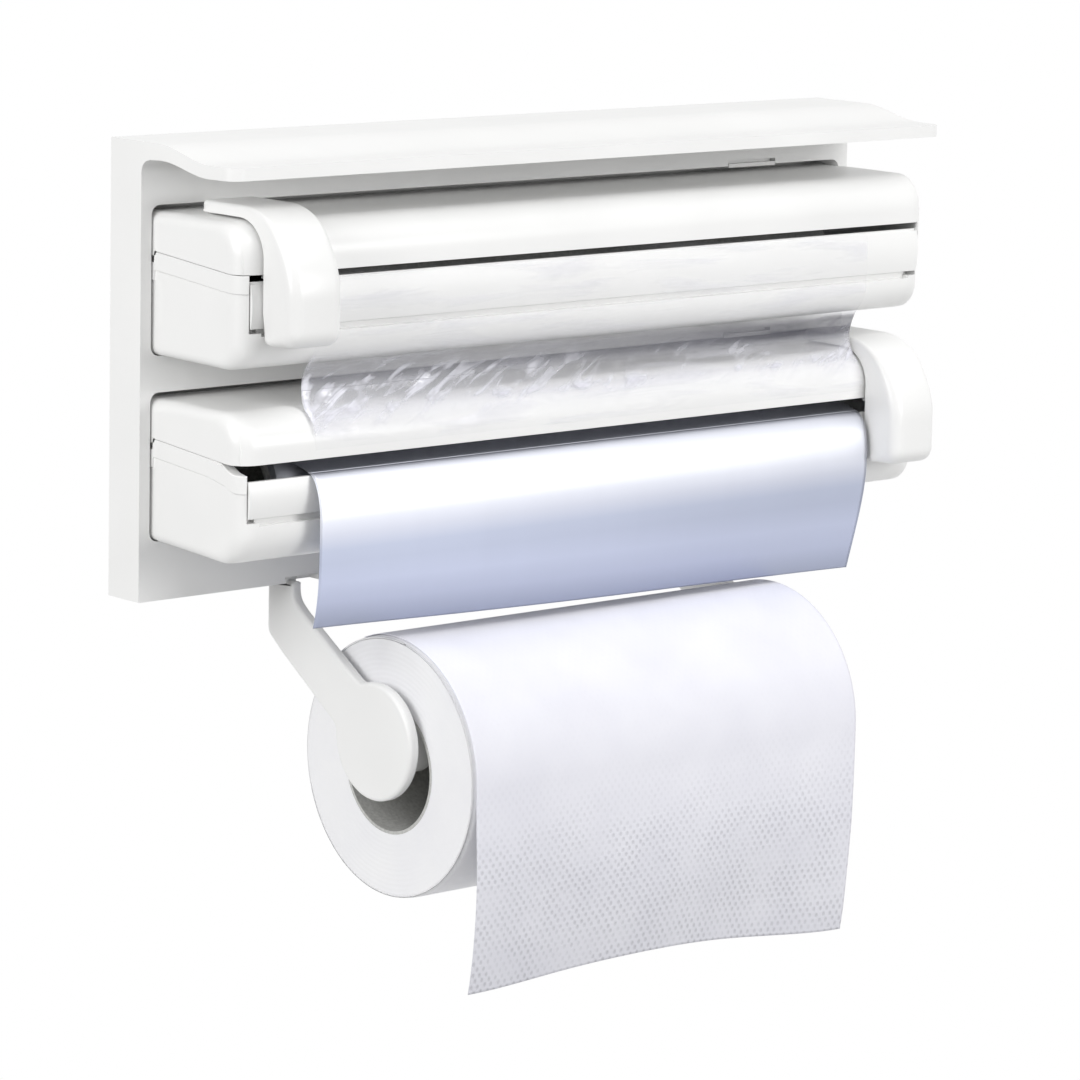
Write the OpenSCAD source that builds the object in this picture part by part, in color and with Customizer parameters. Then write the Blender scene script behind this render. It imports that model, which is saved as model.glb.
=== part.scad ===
// Triple kitchen roll dispenser for a wall: two drawer-like cassettes with slide cutters, for cling
// film and foil, in one moulded frame with a top shelf, and a kitchen roll on two arms below it.
// X runs along the wall to the right, Y into the wall, Z up. The origin is the centre of the four
// wall screws, on the wall plane.

/* [Frame] */
// Width of the frame along the wall
frame_w = 380; // [370:1:420]
// Depth of the frame from the wall to its front face
frame_d = 20; // [19:0.5:26]
// Height of each cassette bay
bay_h = 59; // [58:0.5:64]
// Width of the frame's border at each side of a bay
side_border = 5; // [4:0.5:8]
// Height of the band between the two bays
mid_band = 14.4; // [14:0.2:20]
// Height of the band above the upper bay
top_band = 25; // [23:0.5:34]
// Height of the band below the lower bay
bottom_band = 23.6; // [22:0.2:34]
// Wall thickness of the frame moulding
wall_t = 2.5; // [2.2:0.1:3]

/* [Shelf] */
// How far the shelf stands out from the frame's front face
shelf_reach = 57.5; // [45:0.5:80]
// Thickness of the shelf at the frame
shelf_root_t = 7; // [6:0.5:9]
// Thickness of the shelf at its front edge
shelf_edge_t = 5; // [3:0.1:6]
// Drop of the shelf's front half below its rear half
shelf_drop = 5.5; // [0:0.5:6]

/* [Cassettes] */
// How far a cassette stands out from the frame's front face
cassette_out = 56; // [55:0.5:60]
// How far a cassette reaches into its bay
cassette_inset = 11; // [10:0.5:12]
// Height of the lid
lid_h = 19.7; // [19:0.1:21]
// Wall thickness of lids and trays
shell_t = 2.4; // [2:0.1:2.8]
// Height of the slot that the film leaves by
film_slot_h = 3.6; // [3.4:0.1:5]
// Height of the slot that the foil leaves by
foil_slot_h = 6.4; // [4:0.1:7]
// Radius of the lid's upper front edge
lid_front_r = 14; // [10:0.5:15]
// Radius of the tray's lower front edge
tray_front_r = 12; // [12:0.5:18]

/* [Cutters] */
// Width of a slide cutter
cutter_w = 25; // [20:0.5:26]
// Thickness of a cutter's front leg
cutter_leg_d = 19; // [14:0.5:22]
// Height of a cutter above the lid
cutter_over = 5.5; // [4.5:0.5:6]

/* [Film and foil] */
// Width of the film and of the foil
sheet_w = 296; // [280:1:298]
// Radius of the wound film
film_roll_r = 20; // [17:0.5:21]
// Radius of the wound foil
foil_roll_r = 19; // [17:0.5:21]
// Depth of the hanging foil's lower right corner below the wall screws' centre
foil_low = 103; // [90:1:103]
// How far the foil lies to the left of the middle
foil_shift = 1; // [0:0.5:4]

/* [Kitchen roll] */
// Radius of the kitchen roll
paper_r = 52.7; // [40:0.1:53]
// Length of the kitchen roll
paper_l = 208; // [195:1:220]
// Inner radius of the kitchen roll's tube
paper_core_r = 25.7; // [24:0.1:27]
// Length of paper that hangs below the roll's axis
paper_tail = 88; // [60:1:110]

/* [Arms] */
// Thickness of an arm
arm_t = 5; // [4:0.5:6]
// Radius of the round end of an arm
disc_r = 23.8; // [22:0.1:26]
// Radius of the peg that carries the kitchen roll
peg_r = 14.2; // [12:0.1:16]
// How far each arm slides outwards
arm_travel = 25; // [20:1:28]

/* [Hidden] */
$fn = 64;
tiny = 0.01;

// Colours
white_abs = [0.95, 0.95, 0.94];
pale_abs = [0.88, 0.88, 0.88];
steel = [0.72, 0.73, 0.75];
board = [0.72, 0.62, 0.48];
clear_film = [0.86, 0.89, 0.93, 0.6];
foil_grey = [0.75, 0.78, 0.84];
paper_white = [0.96, 0.96, 0.97];

// Frame: bays lie evenly above and below the origin
upper_z = (bay_h + mid_band) / 2;
lower_z = -upper_z;
frame_top = upper_z + bay_h / 2 + top_band;
frame_bottom = lower_z - bay_h / 2 - bottom_band;
half_w = frame_w / 2;
bay_half = half_w - side_border;
bay_corner_r = 4;
sleeve_t = 2;
plate_t = 2.4;
plate_gap = 0.3;
front_y = -frame_d;
panel_back = front_y + wall_t;
sleeve_back = -plate_t - 0.2;
shelf_front = front_y - shelf_reach;
shelf_corner_r = 6;
shelf_fillet_r = 5;
shelf_steps = 20;

// Screws: wall holes lie behind the cassettes, the plate's own screws in the bands
wall_screw_x = 150;
wall_hole_r = 2.3;
plate_screw_r = 1.5;
plate_screw_l = 11;
plate_head_r = 3;
plate_head_h = 1.5;
screw_clear = 0.1;
boss_r = 4;
plate_screw_x = half_w - 25;
plate_screw_top = frame_top - 13;
plate_screw_low = frame_bottom + 12;
plate_screw_at = [for (x = [-plate_screw_x, plate_screw_x], z = [plate_screw_top, plate_screw_low]) [x, z]];

// Catches: a tongue in the gap above each cassette
catch_x = 133;
catch_half = 13.5;
catch_down = 0.6;
catch_up = 1;
catch_travel = 1.2;
catch_flange_t = 2;
catch_clear = 0.4;
catch_proud = 0.2;
catch_wing = 3;
catch_lift = 0.15;
catch_neck = 0.5;
catch_front = front_y - catch_proud;
catch_back = panel_back + 4.6;

// Cassettes: measured from the cassette's own floor, z = 0 there
floor_gap = 0.3;
roof_gap = 2;
side_gap = 0.9;
cas_h = bay_h - floor_gap - roof_gap;
cas_half = bay_half - side_gap;
cas_front = front_y - cassette_out;
cas_back = front_y + cassette_inset;
end_wall_t = 5;
slot_half = cas_half - end_wall_t;
seam_gap = 0.3;
seam_z = cas_h - lid_h;
tray_top = seam_z - seam_gap;
collar_h = 8;
collar_step = 0.6;
rear_r = 2;
end_r = 6;
end_edge_r = 6;
lid_end_t = 2.5;
lid_rear_lift = 2.2;
upper_floor = upper_z - bay_h / 2 + floor_gap;
lower_floor = lower_z - bay_h / 2 + floor_gap;

// Lid hinge
hinge_y = cas_back - 7;
hinge_z = seam_z + 4;
pin_r = 1.6;
pin_clear = 0.05;
ear_r = 4;
ear_outer = cas_half - lid_end_t - 0.3;
ear_inner = slot_half - 0.3;

// Track and cutting groove on the tray's front
groove_low = 13.2;
groove_high = 16.2;
groove_d = 2.2;
track_d = 1;
track_bulge = 0.4;
rib_d = 4;
rib_over = 2.4;
rib_front = cas_front + shell_t - 1;

// Cutters: parked outside the sheet, the upper one at the left end, the lower one at the right
cutter_gap = 1;
cutter_park = sheet_w / 2 + 1.3;
cutter_in = cas_front - cutter_gap;
cutter_front = cutter_in - cutter_leg_d;
cutter_rear = front_y - 18;
cutter_low = 10;
cutter_top = cas_h + cutter_over;
cutter_outer_r = 33;
cutter_toe_r = 6;
cutter_edge_r = 5;
cutter_pad = 5;
hook_t = 1.5;
hook_lip = 1.7;
hook_up = 2.4;
ride_gap = 0.3;
blade_t = 0.6;
blade_z = 14.7;
blade_half = 3.2;
blade_root = 7;
blade_reach = 0.8;
blade_tip_angle = 30;
blade_gap = 0.1;

// Rolls in the cassettes lie on the tray floor
roll_core_in = 13.5;
roll_core_out = 15;
roll_y = cas_back - 27;
roll_gap = 0.3;

// Kitchen roll and arms
arm_outer = paper_l / 2 + 3.5 + arm_t;
arm_inner = arm_outer - arm_t;
neck_back = -1.5;
neck_front = front_y + 1.5;
neck_low = frame_bottom - 23.5;
disc_y = front_y - 51;
disc_z = frame_bottom - 56.5;
disc = [disc_y, disc_z];
neck = [neck_front, frame_bottom];
bar_rear = [23.5, 2.5];
bar_front = [8, 21.4];
bar_bend = [-7, -12.2];
bar_neck = [0, -7];
peg_l = 17.5;
paper_core_t = 1.3;
paper_y = disc_y;
paper_z = disc_z + peg_r + roll_gap - paper_core_r;
foot_l = 34;
foot_back = -plate_t - 0.8;
foot_front = panel_back + 0.6;
foot_t = 3;
foot_gap = 0.15;
pass_back = -5.6;
pass_front = -14.4;
slot_clear = 0.3;
mouth_l = 17;
mouth_over = 5;

// Sheets
film_t = 0.3;
film_leaves_tray = 225;
film_meets_lid = 125;
paper_wrap_from = 140;
foil_t = 0.3;
paper_t = 0.4;
sheet_gap = 0.5;
foil_swing = 5;
foil_taper = 3;
foil_tilt = 8;
paper_inset = 4.5;
paper_swing = 6;
paper_wave = 2.5;
paper_taper = 4;
paper_tilt = 4.2;
paper_bow = 5;

// Lays a Y-Z outline along X from x0 to x1
module along_x(x0, x1) {
    translate([x0, 0, 0]) rotate([90, 0, 90]) linear_extrude(x1 - x0) children();
}

// Lays an X-Z outline along Y from the back face to the front face
module along_y(back, front) {
    translate([0, back, 0]) rotate([90, 0, 0]) linear_extrude(back - front) children();
}

// Rectangle between two corners
module box2(x0, y0, x1, y1) {
    translate([x0, y0]) square([x1 - x0, y1 - y0]);
}

// Rectangle between two corners with round corners
module round_box2(x0, y0, x1, y1, r) {
    box2(x0 + r, y0, x1 - r, y1);
    box2(x0, y0 + r, x1, y1 - r);
    for (x = [x0 + r, x1 - r], y = [y0 + r, y1 - r]) translate([x, y]) circle(r);
}

// What a round corner leaves out: the corner point, its radius and the way into the shape
module corner_off(x, y, r, to_x, to_y) {
    difference() {
        translate([x + to_x * (r - 1) / 2, y + to_y * (r - 1) / 2]) square(r + 1, center = true);
        translate([x + to_x * r, y + to_y * r]) circle(r);
    }
}

// Height of the shelf's top below the frame's top, and its thickness, at a share u of its reach
function smooth(u) = u <= 0 ? 0 : u >= 1 ? 1 : u * u * (3 - 2 * u);
function shelf_sink(u) = shelf_drop * smooth((u - 0.2) / 0.55);
function shelf_t(u) = shelf_edge_t + (shelf_root_t - shelf_edge_t) * pow(1 - u, 1.6);

module shelf() {
    top = [for (i = [0:shelf_steps]) let (u = i / shelf_steps)
        [front_y - u * shelf_reach, frame_top - shelf_sink(u)]];
    under = [for (i = [shelf_steps:-1:0]) let (u = i / shelf_steps)
        [front_y - u * shelf_reach, frame_top - shelf_sink(u) - shelf_t(u)]];
    root = [[front_y + tiny, frame_top - shelf_root_t], [front_y + tiny, frame_top]];
    fillet_z = frame_top - shelf_root_t;
    intersection() {
        along_x(-half_w, half_w) union() {
            polygon(concat(top, under, root));
            difference() {
                box2(front_y - shelf_fillet_r, fillet_z - shelf_fillet_r, front_y + tiny, fillet_z + 1);
                translate([front_y - shelf_fillet_r, fillet_z - shelf_fillet_r]) circle(shelf_fillet_r);
            }
        }
        linear_extrude(frame_top + 1)
            round_box2(-half_w, shelf_front, half_w, front_y + shelf_corner_r + 1, shelf_corner_r);
    }
}

module bay_outline(z, grow) {
    round_box2(-bay_half - grow, z - bay_h / 2 - grow, bay_half + grow, z + bay_h / 2 + grow,
               bay_corner_r + grow);
}

module screw_boss(at) {
    translate([at[0], sleeve_back, at[1]]) rotate([90, 0, 0])
        cylinder(r = boss_r, h = sleeve_back - panel_back);
}

module screw_hole(at, r) {
    translate([at[0], 1, at[1]]) rotate([90, 0, 0]) cylinder(r = r, h = plate_screw_l + 1.5);
}

// Slot in the rail, and its mouth in the front edge beside the arm, on one side
module arm_slot(side) {
    outer = arm_outer + arm_travel + slot_clear;
    inner = arm_inner - slot_clear;
    x0 = side < 0 ? -outer : inner;
    translate([x0, pass_front - slot_clear, frame_bottom - 1])
        cube([outer - inner, pass_back - pass_front + 2 * slot_clear, wall_t + 2]);
    mouth_x0 = side < 0 ? -arm_outer - mouth_over : arm_outer + mouth_over - mouth_l;
    translate([mouth_x0, front_y - 1, frame_bottom - 1])
        cube([mouth_l, pass_front - front_y + 1, wall_t + 1]);
}

// Opening for a catch: through the bay's roof, and a notch in the front face
module catch_opening(z) {
    roof = z + bay_h / 2;
    reach = catch_half + catch_clear;
    translate([catch_x - reach, panel_back - tiny, roof - 1])
        cube([2 * reach, catch_back - panel_back + catch_clear, sleeve_t + 2]);
    translate([catch_x - reach, front_y - 1, roof - 1])
        cube([2 * reach, wall_t + 1 + 2 * tiny, 1 + catch_up + catch_travel + catch_proud]);
}

module wall_frame() {
    color(white_abs) difference() {
        union() {
            difference() {
                along_y(0, front_y) box2(-half_w, frame_bottom, half_w, frame_top);
                along_y(1, panel_back)
                    box2(-half_w + wall_t, frame_bottom + wall_t, half_w - wall_t, frame_top - wall_t);
            }
            for (z = [upper_z, lower_z]) along_y(sleeve_back, front_y) bay_outline(z, sleeve_t);
            for (at = plate_screw_at) screw_boss(at);
            shelf();
        }
        for (z = [upper_z, lower_z]) {
            along_y(1, front_y - 1) bay_outline(z, 0);
            catch_opening(z);
        }
        for (at = plate_screw_at) screw_hole(at, plate_screw_r);
        for (side = [-1, 1]) arm_slot(side);
    }
}

module plate_screw(at, grow) {
    translate([at[0], 0, at[1]]) rotate([90, 0, 0])
        cylinder(r1 = plate_head_r + grow, r2 = plate_screw_r + grow, h = plate_head_h);
}

module back_plate() {
    inset = wall_t + plate_gap;
    color(pale_abs) difference() {
        along_y(0, -plate_t)
            box2(-half_w + inset, frame_bottom + inset, half_w - inset, frame_top - inset);
        for (x = [-wall_screw_x, wall_screw_x], z = [upper_z, lower_z])
            translate([x, 1, z]) rotate([90, 0, 0]) cylinder(r = wall_hole_r, h = plate_t + 2);
        for (at = plate_screw_at) {
            screw_hole(at, plate_screw_r + screw_clear);
            plate_screw(at, screw_clear);
        }
    }
}

module back_plate_screws() {
    color(steel) for (at = plate_screw_at) {
        plate_screw(at, 0);
        translate([at[0], 0, at[1]]) rotate([90, 0, 0]) cylinder(r = plate_screw_r, h = plate_screw_l);
    }
}

module snap_catch(z) {
    roof = z + bay_h / 2;
    wide = catch_half + catch_wing;
    stem_front = panel_back + catch_clear;
    color(white_abs) {
        along_y(stem_front + tiny, catch_front)
            box2(catch_x - catch_half, roof - catch_down, catch_x + catch_half, roof + catch_up);
        along_y(catch_back, stem_front)
            box2(catch_x - catch_half, roof - catch_down, catch_x + catch_half, roof + sleeve_t + catch_neck);
        along_y(catch_back + 1, stem_front)
            box2(catch_x - wide, roof + sleeve_t + catch_lift,
                 catch_x + wide, roof + sleeve_t + catch_flange_t);
    }
}

module upper_catch() { snap_catch(upper_z); }
module lower_catch() { snap_catch(lower_z); }

// Side outline of a closed cassette, drawn in by a wall thickness
module cassette_outline(inset) {
    difference() {
        box2(cas_front + inset, inset, cas_back - inset, cas_h - inset);
        corner_off(cas_front + inset, inset, tray_front_r - inset, 1, 1);
        corner_off(cas_front + inset, cas_h - inset, lid_front_r - inset, 1, -1);
        if (inset < rear_r) {
            corner_off(cas_back - inset, inset, rear_r - inset, -1, 1);
            corner_off(cas_back - inset, cas_h - inset, rear_r - inset, -1, -1);
        }
    }
}

// Outer form of a cassette between two heights, with round ends
module cassette_form(low, high, inset) {
    half = cas_half - inset;
    intersection() {
        along_x(-half, half) intersection() {
            cassette_outline(0);
            box2(cas_front - 1, low, cas_back + 1, high);
        }
        translate([0, 0, -1]) linear_extrude(cas_h + 2)
            round_box2(-half, cas_front, half, cas_back + end_r, end_r);
        along_y(cas_back + 1, cas_front - 1) round_box2(-half, 0, half, cas_h, end_edge_r);
    }
}

// Hinge pin holes of both ends
module hinge_bores(r, inner, outer) {
    for (side = [-1, 1])
        translate([side < 0 ? -outer : inner, hinge_y, hinge_z]) rotate([0, 90, 0])
            cylinder(r = r, h = outer - inner);
}

module tray(slot_h) {
    rim = seam_z - slot_h;
    color(white_abs) difference() {
        union() {
            difference() {
                union() {
                    cassette_form(0, tray_top - collar_h, collar_step);
                    cassette_form(tray_top - collar_h - tiny, tray_top, 0);
                }
                along_x(-slot_half, slot_half) cassette_outline(shell_t);
            }
            along_x(-slot_half - 1, slot_half + 1)
                box2(rib_front, groove_low - rib_over, rib_front + rib_d, groove_high + rib_over);
            for (side = [-1, 1]) {
                x0 = side < 0 ? -ear_outer : ear_inner;
                along_x(x0, x0 + ear_outer - ear_inner) {
                    translate([hinge_y, hinge_z]) circle(ear_r);
                    box2(hinge_y - ear_r, tray_top - 4, hinge_y + ear_r, hinge_z);
                }
            }
        }
        along_x(-slot_half, slot_half) {
            box2(cas_front - 1, rim, cas_front + shell_t + 1, tray_top + 1);
            box2(cas_front - 1, groove_low, cas_front + track_d, rim + 1);
            box2(cas_front - 1, groove_low, cas_front + groove_d, groove_high);
        }
        hinge_bores(pin_r, ear_inner - 1, ear_outer + 1);
    }
}

module upper_tray() { translate([0, 0, upper_floor]) tray(film_slot_h); }
module lower_tray() { translate([0, 0, lower_floor]) tray(foil_slot_h); }

module lid() {
    color(white_abs) difference() {
        cassette_form(seam_z, cas_h, 0);
        along_x(-cas_half + lid_end_t, cas_half - lid_end_t) cassette_outline(shell_t);
        along_x(-cas_half - 1, cas_half + 1)
            box2(hinge_y - ear_r - 1, seam_z - 1, cas_back + 1, seam_z + lid_rear_lift);
        hinge_bores(pin_r + pin_clear, ear_outer, cas_half + 1);
    }
}

module upper_lid() { translate([0, 0, upper_floor]) lid(); }
module lower_lid() { translate([0, 0, lower_floor]) lid(); }

module lid_pins() {
    color(pale_abs) hinge_bores(pin_r, ear_inner, cas_half - 0.4);
}

module upper_lid_pins() { translate([0, 0, upper_floor]) lid_pins(); }
module lower_lid_pins() { translate([0, 0, lower_floor]) lid_pins(); }

// Rounded bar between slot and groove, seated in the recess of the tray's front
module track(slot_h) {
    rim = seam_z - slot_h;
    high = rim - groove_high;
    sag = track_d + track_bulge - 0.3;
    bar_r = (high * high / 4 + sag * sag) / (2 * sag);
    color(white_abs) along_x(-slot_half + 0.3, slot_half - 0.3) intersection() {
        box2(cas_front - track_bulge - 1, groove_high, cas_front + track_d, rim);
        translate([cas_front - track_bulge + bar_r, (rim + groove_high) / 2]) circle(bar_r, $fn = 200);
    }
}

module upper_track() { translate([0, 0, upper_floor]) track(film_slot_h); }
module lower_track() { translate([0, 0, lower_floor]) track(foil_slot_h); }

// Side outline of a cutter: arm over the lid, thick leg in front, hook in the slot
module cutter_outline() {
    lid_top = cas_h + cutter_gap;
    difference() {
        box2(cutter_front, cutter_low, cutter_rear, cutter_top);
        corner_off(cutter_front, cutter_top, cutter_outer_r, 1, -1);
        corner_off(cutter_front, cutter_low, cutter_toe_r, 1, 1);
        corner_off(cutter_rear, cutter_top, 2, -1, -1);
        difference() {
            box2(cutter_in, cutter_low - 1, cutter_rear + 1, lid_top);
            corner_off(cutter_in, lid_top, lid_front_r + cutter_gap, 1, -1);
        }
    }
    box2(cutter_rear - cutter_pad, cas_h + ride_gap, cutter_rear, lid_top + 1);
    hook_low = seam_z - ride_gap - hook_t;
    hook_back = cas_front + shell_t + ride_gap + hook_lip;
    box2(cutter_in - 1, hook_low, hook_back, hook_low + hook_t);
    box2(hook_back - hook_lip, hook_low, hook_back, hook_low + hook_t + hook_up);
}

module blade_outline() {
    base = cutter_in - 0.4;
    tip = cas_front + blade_reach;
    half = (tip - base) * tan(blade_tip_angle);
    box2(cutter_in - blade_root, blade_z - blade_half, base, blade_z + blade_half);
    polygon([[base - tiny, blade_z - half], [tip, blade_z], [base - tiny, blade_z + half]]);
}

// A cutter stands with its inner side at the parking line, on one side of the part
module cutter(side) {
    x0 = side < 0 ? -cutter_park - cutter_w : cutter_park;
    middle = x0 + cutter_w / 2;
    color(white_abs) difference() {
        intersection() {
            along_x(x0, x0 + cutter_w) cutter_outline();
            linear_extrude(cutter_top + 1)
                round_box2(x0, cutter_front, x0 + cutter_w, cutter_rear + cutter_edge_r, cutter_edge_r);
        }
        along_x(middle - blade_t / 2 - blade_gap, middle + blade_t / 2 + blade_gap)
            box2(cutter_in - blade_root - blade_gap, blade_z - blade_half - blade_gap,
                 cutter_in + 1, blade_z + blade_half + blade_gap);
    }
}

module blade(side) {
    middle = side * (cutter_park + cutter_w / 2);
    color(steel) along_x(middle - blade_t / 2, middle + blade_t / 2) blade_outline();
}

module upper_cutter() { translate([0, 0, upper_floor]) cutter(-1); }
module upper_blade() { translate([0, 0, upper_floor]) blade(-1); }
module lower_cutter() { translate([0, 0, lower_floor]) cutter(1); }
module lower_blade() { translate([0, 0, lower_floor]) blade(1); }

// Round tube along X
module tube_x(half, inner, outer) {
    along_x(-half, half) difference() {
        circle(outer);
        circle(inner);
    }
}

function roll_z(r) = shell_t + roll_gap + r;

module roll_core(r) {
    color(board) translate([0, roll_y, roll_z(r)]) tube_x(sheet_w / 2 + 2, roll_core_in, roll_core_out);
}

module roll_wound(r, tint) {
    color(tint) translate([0, roll_y, roll_z(r)]) tube_x(sheet_w / 2, roll_core_out, r);
}

module film_core() { translate([0, 0, upper_floor]) roll_core(film_roll_r); }
module film_roll() { translate([0, 0, upper_floor]) roll_wound(film_roll_r, clear_film); }
module foil_core() { translate([-foil_shift, 0, lower_floor]) roll_core(foil_roll_r); }
module foil_roll() { translate([-foil_shift, 0, lower_floor]) roll_wound(foil_roll_r, foil_grey); }

// Sheets: a side path of [y, z] points is spread along X and thickened along its own normal.
// At a share u of the path and v of the width, sway is the offset along the normal and rise the lift;
// x0 and x1 are the sheet's ends along X.
function arc_path(c, r, a0, a1, n) = [for (i = [0:n]) let (a = a0 + (a1 - a0) * i / n)
    [c[0] + r * cos(a), c[1] + r * sin(a)]];
function bezier_path(p, n) = [for (i = [1:n]) let (t = i / n, s = 1 - t)
    s * s * s * p[0] + 3 * s * s * t * p[1] + 3 * s * t * t * p[2] + t * t * t * p[3]];
function path_normal(p, i) = let (a = p[max(i - 1, 0)], b = p[min(i + 1, len(p) - 1)], d = b - a)
    [-d[1], d[0]] / norm(d);

module sheet_solid(path, columns, thick, x0, x1, sway, rise) {
    last = len(path) - 1;
    row = columns + 1;
    count = (last + 1) * row;
    points = [for (layer = [-0.5, 0.5], i = [0:last], j = [0:columns])
        let (u = i / last, v = j / columns, n = path_normal(path, i), off = layer * thick + sway(u, v))
        [x0(u) + (x1(u) - x0(u)) * v, path[i][0] + n[0] * off, path[i][1] + n[1] * off + rise(u, v)]];
    function quad(a, b, c, d) = [[a, b, c], [a, c, d]];
    low = [for (i = [0:last - 1], j = [0:columns - 1]) let (k = i * row + j)
        each quad(k, k + 1, k + row + 1, k + row)];
    high = [for (i = [0:last - 1], j = [0:columns - 1]) let (k = count + i * row + j)
        each quad(k, k + row, k + row + 1, k + 1)];
    left = [for (i = [0:last - 1]) let (k = i * row) each quad(k, k + row, k + count + row, k + count)];
    right = [for (i = [0:last - 1]) let (k = i * row + columns)
        each quad(k, k + count, k + count + row, k + row)];
    start = [for (j = [0:columns - 1]) each quad(j, j + count, j + count + 1, j + 1)];
    end = [for (j = [0:columns - 1]) let (k = last * row + j)
        each quad(k, k + 1, k + count + 1, k + count)];
    polyhedron(points, concat(low, high, left, right, start, end));
}

// Where the tangent from a point in front meets the top of a roll
function roll_leave(r, p) = let (c = [roll_y, roll_z(r)], d = p - c, reach = norm(d),
    a = atan2(d[1], d[0]) - acos((r + sheet_gap) / reach)) c + (r + sheet_gap) * [cos(a), sin(a)];

function film_path() = let (
    rim = [cas_front + 1.6, seam_z - film_slot_h + sheet_gap],
    clear = track_bulge + sheet_gap,
    tray_c = [cas_front + tray_front_r, tray_front_r],
    lid_c = [cas_front + lid_front_r, cas_h - lid_front_r + lower_floor - upper_floor],
    leave = roll_leave(film_roll_r, rim),
    round = arc_path(tray_c, tray_front_r + clear, 180, film_leaves_tray, 5),
    lap = arc_path(lid_c, lid_front_r + clear, film_meets_lid, 180, 6),
    fall = bezier_path([round[5], round[5] + [5, -5], lap[0] + [6, 7], lap[0]], 8))
    concat([leave, (leave + rim) / 2, rim, rim - [1.6, 0], [cas_front - clear, rim[1] - 1.4]],
           round, fall, [for (i = [1:6]) lap[i]], [lap[6] - [0, 2]]);

function film_sway(u, v) = let (free = smooth((u - 0.35) / 0.2))
    free * (0.35 + 0.3 * sin(1100 * v + 400 * u) * sin(500 * v * v + 1500 * u));

module film_sheet() {
    color(clear_film) translate([0, 0, upper_floor])
        sheet_solid(film_path(), 14, film_t, function(u) -sheet_w / 2, function(u) sheet_w / 2,
                    function(u, v) -film_sway(u, v), function(u, v) 0);
}

function foil_path() = let (
    rim = [cas_front + 1.4, seam_z - foil_slot_h + 0.9],
    leave = roll_leave(foil_roll_r, rim),
    down = -foil_low - lower_floor,
    crest = [cas_front - 6, 13],
    curve = bezier_path([rim, rim + [-5, -1.6], crest + [0, 9], crest], 10))
    concat([leave, (leave + rim) / 2, rim], curve, [for (i = [1:7]) crest + [0, (down - crest[1]) * i / 7]]);

// The free end swings back a little towards its right-hand lower corner, and hangs lower there
function foil_free(u) = smooth((u - 0.55) / 0.45);
function foil_sway(u, v) = foil_swing * foil_free(u) * smooth((v - 0.35) / 0.65);

module foil_sheet() {
    color(foil_grey) translate([-foil_shift, 0, lower_floor])
        sheet_solid(foil_path(), 10, foil_t, function(u) -sheet_w / 2,
                    function(u) sheet_w / 2 - foil_taper * foil_free(u),
                    function(u, v) foil_sway(u, v), function(u, v) foil_tilt * (1 - v) * foil_free(u));
}

// Side outline of an arm below the frame: neck, slanting bar and round end
module arm_outline() {
    polygon([[neck_back, frame_bottom - slot_clear], [neck_back, neck_low], disc + bar_rear,
             disc + bar_front, neck + bar_bend, neck + bar_neck, [neck_front, frame_bottom - slot_clear]]);
    translate(disc) circle(disc_r);
}

module arm(side) {
    x0 = side < 0 ? -arm_outer : arm_inner;
    foot_x0 = side < 0 ? -arm_outer : arm_outer - foot_l;
    peg_x0 = side < 0 ? -arm_inner : arm_inner - peg_l;
    foot_z = frame_bottom + wall_t + foot_gap;
    color(white_abs) {
        along_x(x0, x0 + arm_t) {
            arm_outline();
            box2(pass_front, frame_bottom - 1, pass_back, foot_z + 1);
        }
        translate([foot_x0, foot_front, foot_z]) cube([foot_l, foot_back - foot_front, foot_t]);
        along_x(peg_x0, peg_x0 + peg_l) translate([disc_y, disc_z]) circle(peg_r);
    }
}

module left_arm() { arm(-1); }
module right_arm() { arm(1); }

module kitchen_core() {
    color(board) translate([0, paper_y, paper_z])
        tube_x(paper_l / 2, paper_core_r, paper_core_r + paper_core_t);
}

module kitchen_roll() {
    color(paper_white) translate([0, paper_y, paper_z])
        tube_x(paper_l / 2, paper_core_r + paper_core_t, paper_r);
}

function paper_path() = let (
    c = [paper_y, paper_z],
    r = paper_r + sheet_gap,
    wrap = arc_path(c, r, paper_wrap_from, 180, 6))
    concat(wrap, [for (i = [1:12]) [c[0] - r, c[1] - paper_tail * i / 12]]);

// The free end swings back a little and waves, and its torn edge bows up
function paper_free(u) = smooth((u - 0.6) / 0.4);
function paper_sway(u, v) = paper_free(u)
    * (paper_swing * (1 - 0.67 * v) + paper_wave * sin(540 * v) * (1 - v));
function paper_rise(u, v) = paper_free(u) * (paper_tilt * (1 - v) + paper_bow * pow(sin(180 * v), 2));

module kitchen_sheet() {
    left = -paper_l / 2 + paper_inset;
    color(paper_white)
        sheet_solid(paper_path(), 16, paper_t, function(u) left,
                    function(u) paper_l / 2 - paper_taper * paper_free(u),
                    function(u, v) paper_sway(u, v), function(u, v) paper_rise(u, v));
}

wall_frame();
back_plate();
back_plate_screws();
upper_catch();
lower_catch();
upper_tray();
upper_lid();
upper_lid_pins();
upper_track();
upper_cutter();
upper_blade();
film_core();
film_roll();
film_sheet();
lower_tray();
lower_lid();
lower_lid_pins();
lower_track();
lower_cutter();
lower_blade();
foil_core();
foil_roll();
foil_sheet();
left_arm();
right_arm();
kitchen_core();
kitchen_roll();
kitchen_sheet();
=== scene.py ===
# Looks of the wall dispenser: moulded white plastic, cling film, foil and embossed kitchen paper,
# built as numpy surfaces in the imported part's own frame. Lengths are in millimetres until a mesh is made.
import math

import bmesh
import bpy
import numpy as np
from mathutils import Matrix, Vector


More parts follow.
